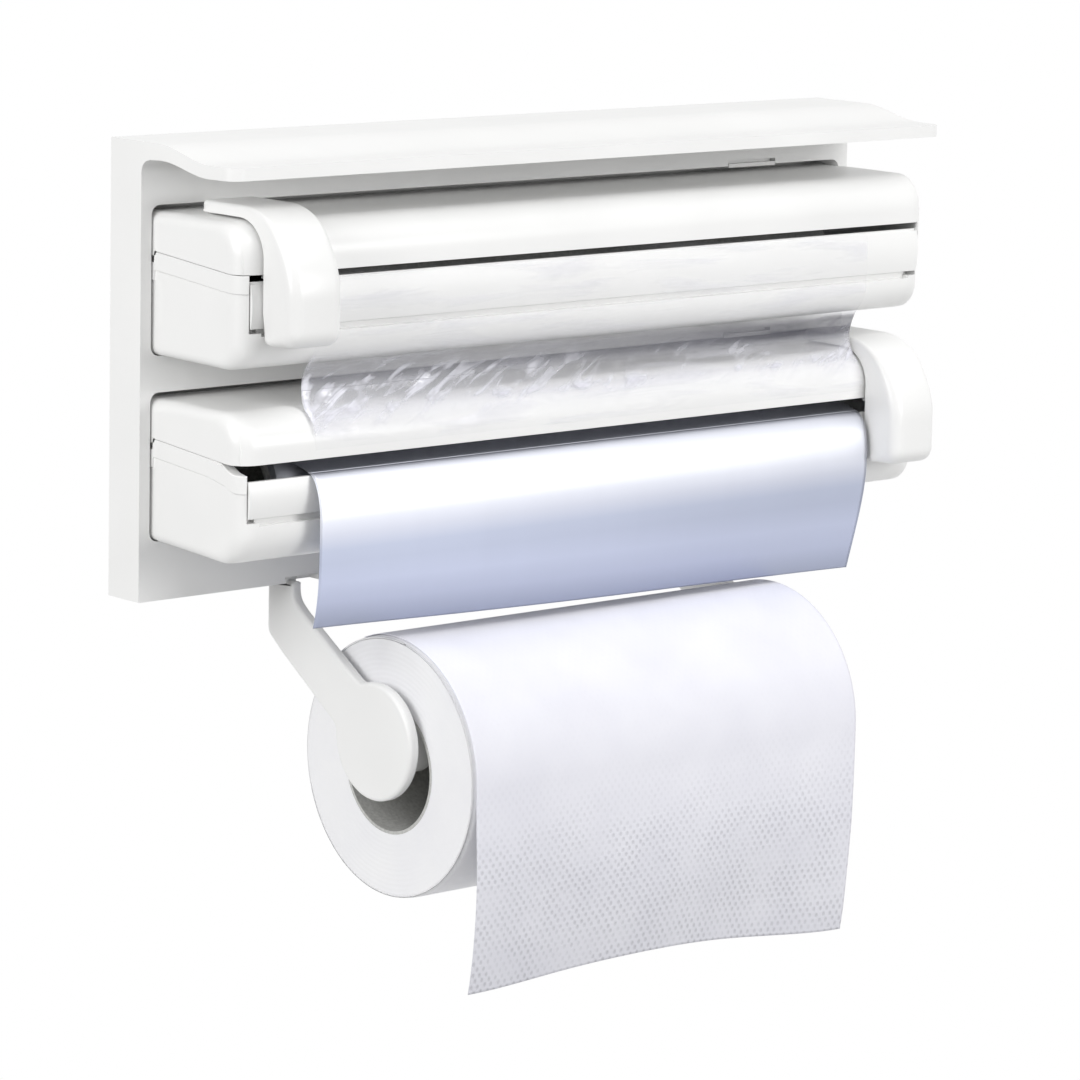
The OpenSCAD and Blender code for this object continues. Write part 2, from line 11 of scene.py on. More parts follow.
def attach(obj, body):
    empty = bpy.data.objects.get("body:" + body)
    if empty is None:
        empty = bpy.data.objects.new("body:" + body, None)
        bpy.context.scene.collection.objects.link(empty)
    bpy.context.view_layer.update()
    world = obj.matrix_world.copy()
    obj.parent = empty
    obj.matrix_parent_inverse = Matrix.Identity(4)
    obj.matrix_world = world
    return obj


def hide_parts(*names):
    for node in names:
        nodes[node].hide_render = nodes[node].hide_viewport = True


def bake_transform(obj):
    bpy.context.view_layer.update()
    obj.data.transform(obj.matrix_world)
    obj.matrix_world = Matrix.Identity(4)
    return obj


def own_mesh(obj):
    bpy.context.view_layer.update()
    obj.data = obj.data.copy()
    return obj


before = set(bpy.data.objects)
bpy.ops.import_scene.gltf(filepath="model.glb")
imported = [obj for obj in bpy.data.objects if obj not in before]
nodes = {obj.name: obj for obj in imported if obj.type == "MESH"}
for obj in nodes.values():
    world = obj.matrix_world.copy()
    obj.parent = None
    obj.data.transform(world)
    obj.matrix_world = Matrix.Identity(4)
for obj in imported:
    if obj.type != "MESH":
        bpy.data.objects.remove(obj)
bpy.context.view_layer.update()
MM = 0.001

# Cassettes, as in the part's source: heights count from a cassette's own floor
CAS_FRONT = -76.0
CAS_BACK = -9.0
CAS_HALF = 184.1
CAS_H = 56.7
UPPER_FLOOR = 7.5
LOWER_FLOOR = -65.9
SEAM = 37.0
LID_R = 14.0
TRAY_R = 12.0
SHELL_T = 2.4
END_FRONT_R = 9.0
END_EDGE_R = 3.5
SLOT_HALF = 179.1
COLLAR = 0.6
HINGE_Y = -16.0
FILM_SLOT = 3.6
FOIL_SLOT = 6.4

# Rolls, pulled-out ends and cutters, as in the part's source
SHEET_HALF = 148.0
SHEET_W = 2 * SHEET_HALF
SHEET_GAP = 0.5
FOIL_SHIFT = 1.0
ROLL_Y = -36.0
ROLL_LIFT = SHELL_T + 0.3
ROLL_CORE_R = 15.0
FILM_ROLL_R = 20.0
FOIL_ROLL_R = 19.0
CUTTER_PARK = 149.3
CUTTER_W = 25.0

# Arms and kitchen roll, as in the part's source
ARM_INNER = 107.5
ARM_T = 5.0
DISC = (-71.0, -146.3)
DISC_R = 23.8
PEG_R = 14.2
PEG_L = 17.5
PAPER_Y = -71.0
PAPER_Z = -157.5
PAPER_R = 52.7
PAPER_HALF = 104.0
PAPER_CORE_OUT = 27.0

# Finer forms of the cassettes
FRAME_EDGE = -20.6  # where a cassette leaves the frame
SEAM_RISE = 4.0  # how far the seam rises between the next two places
RISE_FRONT = -70.0
RISE_BACK = -21.5
SEAM_GAP = 0.3  # between tray and lid
DIP_BACK = -63.0  # the tray's top edge dips from here over the length
DIP_LENGTH = 10.0
SAG_BACK = -20.0  # the floor sags from here over the length, and nothing sags above the top
SAG_LENGTH = 44.0
SAG_TOP = 13.0
TRAY_REAR_R = 2.0  # round along the floor's rear edge
LIP_BACK = 1.0  # how far the face above the cutting groove stands back
GROOVE = (3.4, 13.2, 16.2)  # cutting groove: depth, lower edge, upper edge
POCKET = (5.5, 14.4, 18.2)  # the same for the pocket at each end of it
POCKET_REACH = 9.5  # from the end face to the pocket's inner end
FLOOR_FILLET = 6.0  # inner corner of the floor
LEDGE = (-68.6, 18.6)  # inner ledge above the groove
INSIDE_Y = -40.0  # middle of the inner floor
UPPER_TRAY = (FILM_SLOT - 0.9, 0.5, 0.0)  # height of the slot, sag of the floor, dip of the front corners
LOWER_TRAY = (FOIL_SLOT, 2.4, 3.6)
BAND_TURN = 58.0  # degrees that the collar band follows the front corner
BAND_SECTION = ((-COLLAR, -7.3), (0.25, -7.3), (COLLAR, -6.9), (COLLAR, -0.35), (0.25, 0.0), (-COLLAR, 0.0))
EAR_R = 4.0  # hinge ears: round top, foot below the seam, and both ends along X
EAR_FOOT = 4.3
EAR_ENDS = (178.8, 181.3)
LID_END_TOP_R = 4.5  # rounds of a lid's end, towards the top and the rear
LID_END_BACK_R = 2.0
LID_REAR_R = 1.5  # round along the top's rear edge
LID_WALL = 2.5  # end wall
LID_INSIDE_Y = -30.0  # middle of the inner ceiling
LID_SINK = 0.45  # how far the rear of a lid's top lies lower, from the next place over the length
LID_SINK_FRONT = -34.0
LID_SINK_LENGTH = 12.0
LID_SINK_H = 8.0  # height of the zone at the top that sinks
LID_REAR_LIFT = 2.2  # lower edge of a lid inside the frame, above the seam
FACE_INSET = 0.96  # smaller copy of an outline within a flat end face
EDGE_R = 0.3  # narrow rounded edges

# Hanging ends: where they run and how finely they are drawn
FOIL_BULGE = 6.0
FOIL_CREST = 13.0
FOIL_LOW = -103.0
FOIL_TUCK = 3.5
FOIL_GRID = (150, 160)
PAPER_TAIL = 88.0
PAPER_GRID = (190, 205)
PAPER_WAVE_W = 203.0
FILM_CLEAR = SHEET_GAP + 0.4
FILM_GRID = (220, 240)

# Pattern sizes: real grain, fibres and grinding lines are finer, and are drawn coarse enough to show
FLOW_TONE = 60.0
MOULD_GRAIN = 0.9
GRIND_LINE = 1.5
ROLLING_LINE = 4.0
FILM_STREAK = 7.0
FILM_FOLD = 4.5
FILM_PATCH = 13.0
BOARD_FIBRE = 1.4
TISSUE_FIBRE = 0.8
TISSUE_CLOUD = 30.0
TISSUE_WEAR = 16.0
EMBOSS_ACROSS = 3.6
EMBOSS_DOWN = 5.0
ROLL_EMBOSS = (5.0, 7.5)


# Colour and node helpers

def linear(hex_colour):
    """sRGB hex to linear RGBA: each channel through the sRGB curve."""
    channels = np.array([int(hex_colour[i:i + 2], 16) for i in (1, 3, 5)]) / 255.0
    channels = np.where(channels <= 0.04045, channels / 12.92, ((channels + 0.055) / 1.055) ** 2.4)
    return (*[float(value) for value in channels], 1.0)


def add(tree, kind, settings=None, stops=(), **inputs):
    """Adds one node. Settings are its properties, and stops the places and colours of its ramp. Inputs
    are socket values or (node, output) links, by name with _ for a space, or by number as i0, i1 and so
    on."""
    node = tree.nodes.new(kind)
    for key, value in (settings or {}).items():
        setattr(node, key, value)
    for number, (place, colour) in enumerate(stops):
        elements = node.color_ramp.elements
        stop = elements[number] if number < 2 else elements.new(place)
        stop.position = place
        stop.color = linear(colour)
    for key, value in inputs.items():
        numbered = key[0] == "i" and key[1:].isdigit()
        socket = node.inputs[int(key[1:]) if numbered else key.replace("_", " ")]
        if isinstance(value, tuple) and isinstance(value[0], bpy.types.Node):
            tree.links.new(value[0].outputs[value[1]], socket)
        else:
            socket.default_value = value
    return node


def start(name):
    """A new material with an empty tree."""
    mat = bpy.data.materials.new(name)
    mat.use_nodes = True
    mat.node_tree.nodes.clear()
    return mat, mat.node_tree


def per_mm(size):
    """Texture scale, in repeats per metre, for a feature of that many millimetres."""
    return 1.0 / (size * MM)


# Materials

def moulded_abs(name, low, high, rough):
    """Injection-moulded ABS: even white with a soft gloss, and the faint flow tone and fine grain of a
    mould."""
    mat, tree = start(name)
    place = add(tree, "ShaderNodeTexCoord")
    flow = add(tree, "ShaderNodeTexNoise", Vector=(place, "Object"), Scale=per_mm(FLOW_TONE), Detail=2.0)
    tone = add(tree, "ShaderNodeValToRGB", stops=((0.3, low), (0.7, high)), Fac=(flow, 0))
    grain = add(tree, "ShaderNodeTexNoise", Vector=(place, "Object"), Scale=per_mm(MOULD_GRAIN), Detail=1.0)
    gloss = add(tree, "ShaderNodeMapRange", Value=(flow, 0), To_Min=rough - 0.04, To_Max=rough + 0.06)
    bump = add(tree, "ShaderNodeBump", Strength=0.05, Distance=0.05 * MM, Height=(grain, 0))
    shader = add(tree, "ShaderNodeBsdfPrincipled", Base_Color=(tone, 0), Roughness=(gloss, 0),
                 Normal=(bump, 0), IOR=1.54)
    add(tree, "ShaderNodeOutputMaterial", Surface=(shader, 0))
    return mat


def ground_steel():
    """Ground blade steel: mid grey metal with fine parallel grinding lines."""
    mat, tree = start("ground_steel")
    place = add(tree, "ShaderNodeTexCoord")
    along = add(tree, "ShaderNodeMapping", Vector=(place, "Object"), Scale=(1.0, 1.0, 12.0))
    lines = add(tree, "ShaderNodeTexNoise", Vector=(along, 0), Scale=per_mm(GRIND_LINE), Detail=3.0)
    tone = add(tree, "ShaderNodeValToRGB", stops=((0.0, "#8d9095"), (1.0, "#c9ccd0")), Fac=(lines, 0))
    gloss = add(tree, "ShaderNodeMapRange", Value=(lines, 0), To_Min=0.25, To_Max=0.42)
    shader = add(tree, "ShaderNodeBsdfPrincipled", Base_Color=(tone, 0), Roughness=(gloss, 0), Metallic=1.0)
    add(tree, "ShaderNodeOutputMaterial", Surface=(shader, 0))
    return mat


def rolled_foil():
    """Rolled aluminium foil: bright metal with faint rolling lines in its gloss, down its length. Its
    colour along its length is painted reflection and painted shade: pale over the bend, and bluer and
    darker towards its free end."""
    bend, end = -30 * MM, -108 * MM
    # Painted reflection and painted shade: the foil's colour along its length, pale at the bend and darker
    # towards its end.
    painted_sheen_and_shade_tones = ((0.08, "#cfd1da"), (0.2, "#e4e6ed"), (0.31, "#d8dae2"), (0.4, "#c3c6d2"), (0.49, "#b1b7c9"),
             (0.57, "#b1b7ca"), (0.7, "#bbc1d6"), (0.83, "#b6bcd2"), (1.0, "#9ea4b8"))
    mat, tree = start("rolled_aluminium_foil")
    place = add(tree, "ShaderNodeUVMap")
    along = add(tree, "ShaderNodeMapping", Vector=(place, 0), Scale=(1.0, 0.03, 1.0))
    lines = add(tree, "ShaderNodeTexNoise", Vector=(along, 0), Scale=per_mm(ROLLING_LINE), Detail=1.0)
    run = add(tree, "ShaderNodeSeparateXYZ", Vector=(place, 0))
    down = add(tree, "ShaderNodeMapRange", Value=(run, "Y"), From_Min=bend, From_Max=end)
    tone = add(tree, "ShaderNodeValToRGB", stops=painted_sheen_and_shade_tones, Fac=(down, 0))
    gloss = add(tree, "ShaderNodeMapRange", Value=(lines, 0), To_Min=0.4, To_Max=0.46)
    shader = add(tree, "ShaderNodeBsdfPrincipled", Base_Color=(tone, 0), Roughness=(gloss, 0), Metallic=1.0)
    add(tree, "ShaderNodeOutputMaterial", Surface=(shader, 0))
    return mat


def cling_film():
    """Clear polyethylene film: almost invisible where it lies flat, with long pale streaks, hazy with
    bright slanting folds in patches where it hangs slack. The piece's own attributes say how slack it is,
    above 1 for a fold that stays, and how much painted shade it carries where it hangs over the dark gap:
    grey is painted into it between the folds, in place of the gap's shadow."""
    slant_angle, slant_stretch = math.radians(30), 4.5
    slack_haze, painted_shade_haze, crease_cover, fold_cover, crease_pale = 0.19, 0.34, 0.7, 0.8, 1.5
    mat, tree = start("clear_polyethylene_film")
    place = add(tree, "ShaderNodeUVMap")
    slack = add(tree, "ShaderNodeAttribute", {"attribute_name": "slack"})
    cast = add(tree, "ShaderNodeAttribute", {"attribute_name": "cast"})
    along = add(tree, "ShaderNodeMapping", Vector=(place, 0), Scale=(0.12, 1.0, 1.0))
    pulled = add(tree, "ShaderNodeTexNoise", Vector=(along, 0), Scale=per_mm(FILM_STREAK), Detail=3.0,
                 Distortion=0.6)
    streak = add(tree, "ShaderNodeMapRange", Value=(pulled, 0), From_Min=0.5, From_Max=0.8,
                 To_Min=0.02, To_Max=0.22)
    slant = add(tree, "ShaderNodeMapping", {"vector_type": "TEXTURE"}, Vector=(place, 0),
                Rotation=(0.0, 0.0, slant_angle), Scale=(slant_stretch, 1.0, 1.0))
    folds = add(tree, "ShaderNodeTexNoise", Vector=(slant, 0), Scale=per_mm(FILM_FOLD), Detail=2.0,
                Distortion=0.6)
    line = add(tree, "ShaderNodeMapRange", {"interpolation_type": "SMOOTHSTEP"}, Value=(folds, 0),
               From_Min=0.46, From_Max=0.66)
    patch = add(tree, "ShaderNodeTexNoise", Vector=(place, 0), Scale=per_mm(FILM_PATCH), Detail=2.0)
    broken = add(tree, "ShaderNodeMapRange", {"interpolation_type": "SMOOTHSTEP"}, Value=(patch, 0),
                 From_Min=0.34, From_Max=0.6)
    crease = add(tree, "ShaderNodeMath", {"operation": "MULTIPLY"}, i0=(line, 0), i1=(broken, 0))
    loose = add(tree, "ShaderNodeMath", {"operation": "MINIMUM"}, i0=(slack, "Fac"), i1=1.0)
    much = add(tree, "ShaderNodeMath", {"operation": "POWER"}, i0=(loose, 0), i1=2.0)
    crease = add(tree, "ShaderNodeMath", {"operation": "MULTIPLY"}, i0=(crease, 0), i1=(much, 0))
    haze = add(tree, "ShaderNodeMath", {"operation": "MULTIPLY_ADD"},
               i0=(loose, 0), i1=slack_haze, i2=(streak, 0))
    # Painted shade over the gap also makes the film less clear there.
    haze = add(tree, "ShaderNodeMath", {"operation": "MULTIPLY_ADD"},
               i0=(cast, "Fac"), i1=painted_shade_haze, i2=(haze, 0))
    cover = add(tree, "ShaderNodeMath", {"operation": "MULTIPLY_ADD", "use_clamp": True},
                i0=(crease, 0), i1=crease_cover, i2=(haze, 0))
    fold = add(tree, "ShaderNodeMapRange", Value=(slack, "Fac"), From_Min=1.0, From_Max=2.0,
               To_Min=0.0, To_Max=fold_cover)
    cover = add(tree, "ShaderNodeMath", {"operation": "ADD", "use_clamp": True},
                i0=(cover, 0), i1=(fold, 0))
    pale = add(tree, "ShaderNodeMath", {"operation": "MULTIPLY_ADD"},
               i0=(crease, 0), i1=crease_pale, i2=(fold, 0))
    # Painted shade: the film is painted grey over the gap, though not on its creases and folds.
    grey = add(tree, "ShaderNodeMath", {"operation": "SUBTRACT", "use_clamp": True},
               i0=(cast, "Fac"), i1=(pale, 0))
    tone = add(tree, "ShaderNodeMix", {"data_type": "RGBA"}, i0=(grey, 0),
               i6=linear("#f3f3fb"), i7=linear("#6b6b77"))
    bump = add(tree, "ShaderNodeBump", Strength=0.12, Distance=0.5 * MM, Height=(folds, 0))
    shader = add(tree, "ShaderNodeBsdfPrincipled", Base_Color=(tone, 2), Alpha=(cover, 0), Normal=(bump, 0),
                 Roughness=0.12, IOR=1.5)
    add(tree, "ShaderNodeOutputMaterial", Surface=(shader, 0))
    return mat


def wound_board():
    """Spiral-wound grey board: matt, fibrous, darker than the paper around it."""
    mat, tree = start("wound_grey_board")
    place = add(tree, "ShaderNodeTexCoord")
    fibre = add(tree, "ShaderNodeTexNoise", Vector=(place, "Object"), Scale=per_mm(BOARD_FIBRE), Detail=4.0)
    tone = add(tree, "ShaderNodeValToRGB", stops=((0.3, "#b4b4b1"), (0.75, "#cfcfcc")), Fac=(fibre, 0))
    bump = add(tree, "ShaderNodeBump", Strength=0.2, Distance=0.2 * MM, Height=(fibre, 0))
    shader = add(tree, "ShaderNodeBsdfPrincipled", Base_Color=(tone, 0), Normal=(bump, 0), Roughness=0.85)
    add(tree, "ShaderNodeOutputMaterial", Surface=(shader, 0))
    return mat


def tissue_paper(name, low, high, embossed):
    """Two-ply tissue: cool white and quite matt, with a soft fibrous surface. The sheet adds a staggered
    lattice of small embossed hollows, in rows half of EMBOSS_DOWN apart, worn in patches and pulled flat
    on the roll. Painted shade darkens each hollow, and painted shade greys the sheet a little towards its
    torn end."""
    flat_until, crisp_from = -95 * MM, -145 * MM
    # Painted shade towards the torn end: where it begins, where it ends and how dark it gets.
    painted_shade_from, torn_end, painted_end_shade = -110 * MM, -190 * MM, 0.88
    hollow_shade = 0.17
    mat, tree = start(name)
    place = add(tree, "ShaderNodeTexCoord")
    fibre = add(tree, "ShaderNodeTexNoise", Vector=(place, "Object"), Scale=per_mm(TISSUE_FIBRE),
                Detail=3.0)
    cloud = add(tree, "ShaderNodeTexNoise", Vector=(place, "Object"), Scale=per_mm(TISSUE_CLOUD),
                Detail=2.0)
    tone = add(tree, "ShaderNodeValToRGB", stops=((0.3, low), (0.7, high)), Fac=(cloud, 0))
    bump = add(tree, "ShaderNodeBump", Strength=0.3, Distance=0.12 * MM, Height=(fibre, 0))
    if embossed:
        flat = add(tree, "ShaderNodeUVMap")
        diagonal = math.sqrt(2.0)
        lattice = add(tree, "ShaderNodeMapping", Vector=(flat, 0), Rotation=(0.0, 0.0, math.radians(45)),
                      Scale=(diagonal * per_mm(EMBOSS_ACROSS), diagonal * per_mm(EMBOSS_DOWN), 1.0))
        dots = add(tree, "ShaderNodeTexVoronoi", {"voronoi_dimensions": "2D"}, Vector=(lattice, 0),
                   Scale=1.0, Randomness=0.16)
        hollow = add(tree, "ShaderNodeMapRange", {"interpolation_type": "SMOOTHSTEP"}, Value=(dots, 0),
                     From_Min=0.1, From_Max=0.42)
        run = add(tree, "ShaderNodeSeparateXYZ", Vector=(flat, 0))
        free = add(tree, "ShaderNodeMapRange", {"interpolation_type": "SMOOTHSTEP"}, Value=(run, "Y"),
                   From_Min=flat_until, From_Max=crisp_from, To_Min=0.06, To_Max=1.0)
        patch = add(tree, "ShaderNodeTexNoise", Vector=(flat, 0), Scale=per_mm(TISSUE_WEAR), Detail=1.0)
        worn = add(tree, "ShaderNodeMapRange", {"interpolation_type": "SMOOTHSTEP"}, Value=(patch, 0),
                   From_Min=0.3, From_Max=0.62, To_Min=0.4, To_Max=1.0)
        mark = add(tree, "ShaderNodeMath", {"operation": "MULTIPLY"}, i0=(free, 0), i1=(worn, 0))
        hollow = add(tree, "ShaderNodeMath", {"operation": "MULTIPLY"}, i0=(hollow, 0), i1=(mark, 0))
        bump = add(tree, "ShaderNodeBump", Strength=0.7, Distance=0.35 * MM, Height=(hollow, 0),
                   Normal=(bump, 0))
        # Painted shade in each embossed hollow.
        painted_dot_shade = add(tree, "ShaderNodeMath", {"operation": "SUBTRACT"}, i0=(hollow, 0), i1=(mark, 0))
        # Painted shade: the sheet is painted a little greyer towards its torn end.
        end = add(tree, "ShaderNodeMapRange", Value=(run, "Y"), From_Min=painted_shade_from, From_Max=torn_end,
                  To_Min=1.0, To_Max=painted_end_shade)
        shade = add(tree, "ShaderNodeMath", {"operation": "MULTIPLY_ADD"},
                    i0=(painted_dot_shade, 0), i1=hollow_shade, i2=(end, 0))
        tone = add(tree, "ShaderNodeVectorMath", {"operation": "SCALE"}, Vector=(tone, 0), Scale=(shade, 0))
    shader = add(tree, "ShaderNodeBsdfPrincipled", Base_Color=(tone, 0), Normal=(bump, 0), Roughness=0.9,
                 Specular_IOR_Level=0.25)
    add(tree, "ShaderNodeOutputMaterial", Surface=(shader, 0))
    return mat


WHITE = moulded_abs("moulded_white_abs", "#f1f1f0", "#f6f6f5", 0.3)
PALE = moulded_abs("matt_moulded_abs", "#dddddc", "#e4e4e3", 0.5)
STEEL = ground_steel()
FOIL = rolled_foil()
FILM = cling_film()
BOARD = wound_board()
# The roll and its hanging sheet are one paper; the sheet's greyer, more lavender colour is painted shade.
TISSUE = tissue_paper("wound_tissue_paper", "#f3f3f6", "#f9f9fa", False)
SHEET_TISSUE_PAINTED_SHADE = tissue_paper("embossed_tissue_paper_painted_shade", "#e9e9f1", "#efeff6", True)


# Lines and formulas

def arc(cy, cz, r, a0, a1, n):
    """n points of a circle's arc in the Y-Z plane, from angle a0 to a1 in degrees."""
    t = np.radians(np.linspace(a0, a1, n))
    return np.stack([cy + r * np.cos(t), cz + r * np.sin(t)], 1)


def straight(y0, z0, y1, z1, n):
    """n points of a straight line in the Y-Z plane, evenly spaced."""
    return np.stack([np.linspace(y0, y1, n), np.linspace(z0, z1, n)], 1)


def bezier(p, n):
    """n points of the cubic curve with these four control points."""
    t = np.linspace(0, 1, n)[:, None]
    p = np.asarray(p, float)
    return (1 - t) ** 3 * p[0] + 3 * (1 - t) ** 2 * t * p[1] + 3 * (1 - t) * t ** 2 * p[2] + t ** 3 * p[3]


def along_line(line):
    """How far along a polyline each of its points lies: the running sum of its steps."""
    return np.concatenate([[0], np.cumsum(np.hypot(*np.diff(line, axis=0).T))])


def spaced(line, n):
    """n points along a polyline, evenly by length, with its length."""
    at = along_line(line)
    s = np.linspace(0, at[-1], n)
    return np.stack([np.interp(s, at, line[:, k]) for k in (0, 1)], 1), at[-1]


def outward(line, closed=True):
    """Unit normals of an outline, on the side away from its inside when it runs anticlockwise."""
    if closed:
        d = np.roll(line, -1, 0) - np.roll(line, 1, 0)
    else:
        d = np.gradient(line, axis=0)
    d /= np.hypot(*d.T)[:, None]
    return np.stack([d[:, 1], -d[:, 0]], 1)


def smooth(t):
    """0 below 0, 1 above 1, and the cubic step between."""
    t = np.clip(t, 0, 1)
    return t * t * (3 - 2 * t)


def drawn_in(r, depth):
    """How far a quarter round of radius r has drawn a face in, at a depth behind the end it rounds."""
    return r - math.sqrt(max(r * r - max(r - depth, 0.0) ** 2, 0.0))


def waves(a, b, count, short, long, seed):
    """Sum of count sine waves with seeded directions and wavelengths from short to long, scaled to about
    1."""
    rng = np.random.default_rng(seed)
    angle, phase = rng.uniform(0, math.pi, count), rng.uniform(0, 2 * math.pi, count)
    k = 2 * math.pi / rng.uniform(short, long, count)
    along = [a * np.cos(way) + b * np.sin(way) for way in angle]
    total = sum(np.sin(k[i] * along[i] + phase[i]) for i in range(count))
    return total / math.sqrt(count)


def creases(a, b, count, width, reach, seed, lean):
    """Ridges: straight crease lines with seeded places, and angles within lean, each exp(-d/width) across
    it and fading over reach along it."""
    rng = np.random.default_rng(seed)
    total = np.zeros(np.broadcast(a, b).shape)
    places = rng.uniform(a.min(), a.max(), count), rng.uniform(b.min(), b.max(), count)
    angles, sizes = np.radians(rng.uniform(*lean, count)), rng.uniform(0.4, 1, count)
    for a0, b0, angle, size in zip(*places, angles, sizes):
        across = (a - a0) * np.sin(angle) - (b - b0) * np.cos(angle)
        along = (a - a0) * np.cos(angle) + (b - b0) * np.sin(angle)
        total += size * np.exp(-np.abs(across) / width) * np.exp(-(along / reach) ** 2)
    return total


def emboss(a, b, across, down):
    """Dimples of embossed paper: two interleaved lattices of pitch across by down, each dimple a round
    hollow, exp(-d2 / spread) at a squared distance d2 from its middle."""
    spread = 1.1
    total = np.zeros(np.broadcast(a, b).shape)
    for shift in (0.0, 0.5):
        da = (a / across + shift + 0.5) % 1 - 0.5
        db = (b / down + shift + 0.5) % 1 - 0.5
        total -= np.exp(-((da * across) ** 2 + (db * down) ** 2) / spread)
    return total


# Mesh helpers

def grid_faces(rows, columns, wrap_rows=False, wrap_columns=False):
    """Quads of a grid of points numbered row by row; a wrapped side closes on itself."""
    i = np.arange(rows if wrap_rows else rows - 1)
    j = np.arange(columns if wrap_columns else columns - 1)
    a, b = np.meshgrid(i, j, indexing="ij")
    c, d = (a + 1) % rows, (b + 1) % columns
    corners = [a * columns + b, c * columns + b, c * columns + d, a * columns + d]
    return np.stack(corners, -1).reshape(-1, 4).tolist()


def capped_faces(rows, columns):
    """Faces of rings numbered row by row: quads from ring to ring, and a flat face on the first and the
    last."""
    first, last = list(range(columns)), list(range((rows - 1) * columns, rows * columns))
    return grid_faces(rows, columns, wrap_columns=True) + [first, last[::-1]]


def piece(name, parts, material, uv=None):
    """One object at the origin from parts, each (points in mm, faces), with doubles merged and normals
    outwards; uv gives metres per point of one part."""
    points, faces, base = [], [], 0
    for part_points, part_faces in parts:
        part_points = np.asarray(part_points, float).reshape(-1, 3)
        points.append(part_points * MM)
        faces += [[k + base for k in face] for face in part_faces]
        base += len(part_points)
    mesh = bpy.data.meshes.new(name)
    mesh.from_pydata(np.concatenate(points), [], faces)
    if uv is not None:
        layer = mesh.uv_layers.new(name="flat")
        index = np.zeros(len(mesh.loops), np.int32)
        mesh.loops.foreach_get("vertex_index", index)
        layer.data.foreach_set("uv", np.asarray(uv, np.float32).reshape(-1, 2)[index].ravel())
    work = bmesh.new()
    work.from_mesh(mesh)
    bmesh.ops.remove_doubles(work, verts=work.verts, dist=1e-7)
    bmesh.ops.recalc_face_normals(work, faces=work.faces)
    work.to_mesh(mesh)
    work.free()
    mesh.polygons.foreach_set("use_smooth", np.ones(len(mesh.polygons), bool))
    mesh.materials.append(material)
    obj = bpy.data.objects.new(name, mesh)
    bpy.context.scene.collection.objects.link(obj)
    return obj


def moulding(outline, x0, x1, r, steps):
    """Solid with a Y-Z outline carried along X: at both ends the outline draws in along its normals by
    r(1 - sin t) while X moves by r(1 - cos t), a quarter round, and a flat face closes it."""
    face_ring = 1.12
    n = outward(outline)
    r = np.broadcast_to(np.asarray(r, float), len(outline))
    t = np.linspace(0, math.pi / 2, steps + 1)
    inset = np.concatenate([[r * face_ring], r * (1 - np.sin(t))[:, None]])
    shift = np.concatenate([[r * 0], r * (1 - np.cos(t))[:, None]])
    flat = outline[None] - inset[..., None] * n[None]
    first = np.concatenate([(x0 + shift)[..., None], flat], -1)
    last = np.concatenate([(x1 - shift)[..., None], flat], -1)
    points = np.concatenate([first, last[::-1]])
    return points, capped_faces(*points.shape[:2])


def lathe(profile, y, z, turns=96):
    """Closed ring about an X axis: a closed profile of (x, radius) carried round the circle."""
    t = np.linspace(0, 2 * math.pi, turns, endpoint=False)
    x, r = profile[:, 0][:, None], profile[:, 1][:, None]
    points = np.stack([x + 0 * t, y + r * np.cos(t), z + r * np.sin(t)], -1)
    return points, grid_faces(len(profile), turns, True, True)


def box_part(low, high):
    """Plain box between two corners."""
    x, y, z = np.meshgrid(*zip(low, high), indexing="ij")
    points = np.stack([x, y, z], -1).reshape(-1, 3)
    return points, [[0, 1, 3, 2], [4, 6, 7, 5], [0, 4, 5, 1], [2, 3, 7, 6], [0, 2, 6, 4], [1, 5, 7, 3]]


def finish_edges(obj, width, angle=40):
    """A narrow rounded edge on every corner sharper than angle."""
    bevel = obj.modifiers.new("edges", "BEVEL")
    bevel.width, bevel.segments, bevel.limit_method = width * MM, 2, "ANGLE"
    bevel.angle_limit = math.radians(angle)
    bevel.harden_normals = True


# Carried-over solids: they keep their shapes and get better materials
CARRIED_OVER = ((WHITE, ("wall_frame", "upper_catch", "lower_catch", "upper_track", "lower_track")),
                (PALE, ("back_plate", "upper_lid_pins", "lower_lid_pins")),
                (STEEL, ("back_plate_screws", "upper_blade", "lower_blade")),
                (BOARD, ("film_core", "foil_core", "kitchen_core")))
for material, names in CARRIED_OVER:
    for name in names:
        nodes[name].data.materials.clear()
        nodes[name].data.materials.append(material)


# Trays and lids

def edge_places(*front):
    """Places along a cassette's end, from the rear to the front, with a close pair where it leaves the
    frame."""
    return (FRAME_EDGE + 0.2, FRAME_EDGE - 0.2, *front)


def seam_rise(y):
    """Rise of the seam between tray and lid: none in front, then a straight ramp back to the frame's
    front."""
    ramp = np.clip((y - RISE_FRONT) / (RISE_BACK - RISE_FRONT), 0, 1)
    return np.where(y < FRAME_EDGE, SEAM_RISE * ramp, 0.0)


def tray_edge(y, dip):
    """Height of a tray's top edge: a gap below the seam, with its rise, and a smooth dip at the front
    corners."""
    return SEAM - SEAM_GAP + seam_rise(y) - dip * smooth((DIP_BACK - y) / DIP_LENGTH)


def round_depths(*angles):
    """Depths behind an end face at these angles of its front round: r(1 - cos a)."""
    return [END_FRONT_R * (1 - math.cos(math.radians(a))) for a in angles]


def end_to_end(section, stations, half, floor):
    """A tray's or a lid's shell: closed Y-Z sections at stations (depth, hollow) behind the end face,
    with a smaller copy of the first inside that face, carried along X for one half and mirrored for the
    other."""
    flat = np.array([section(depth, hollow) for depth, hollow in stations])
    middle = flat[0].mean(0)
    flat = np.concatenate([[middle + FACE_INSET * (flat[0] - middle)], flat]) + [0, floor]
    x = half - np.array([0.0] + [depth for depth, _ in stations])
    x, flat = np.concatenate([-x, x[::-1]]), np.concatenate([flat, flat[::-1]])
    points = np.concatenate([np.broadcast_to(x[:, None, None], flat.shape[:2] + (1,)), flat], -1)
    return points, capped_faces(*flat.shape[:2])


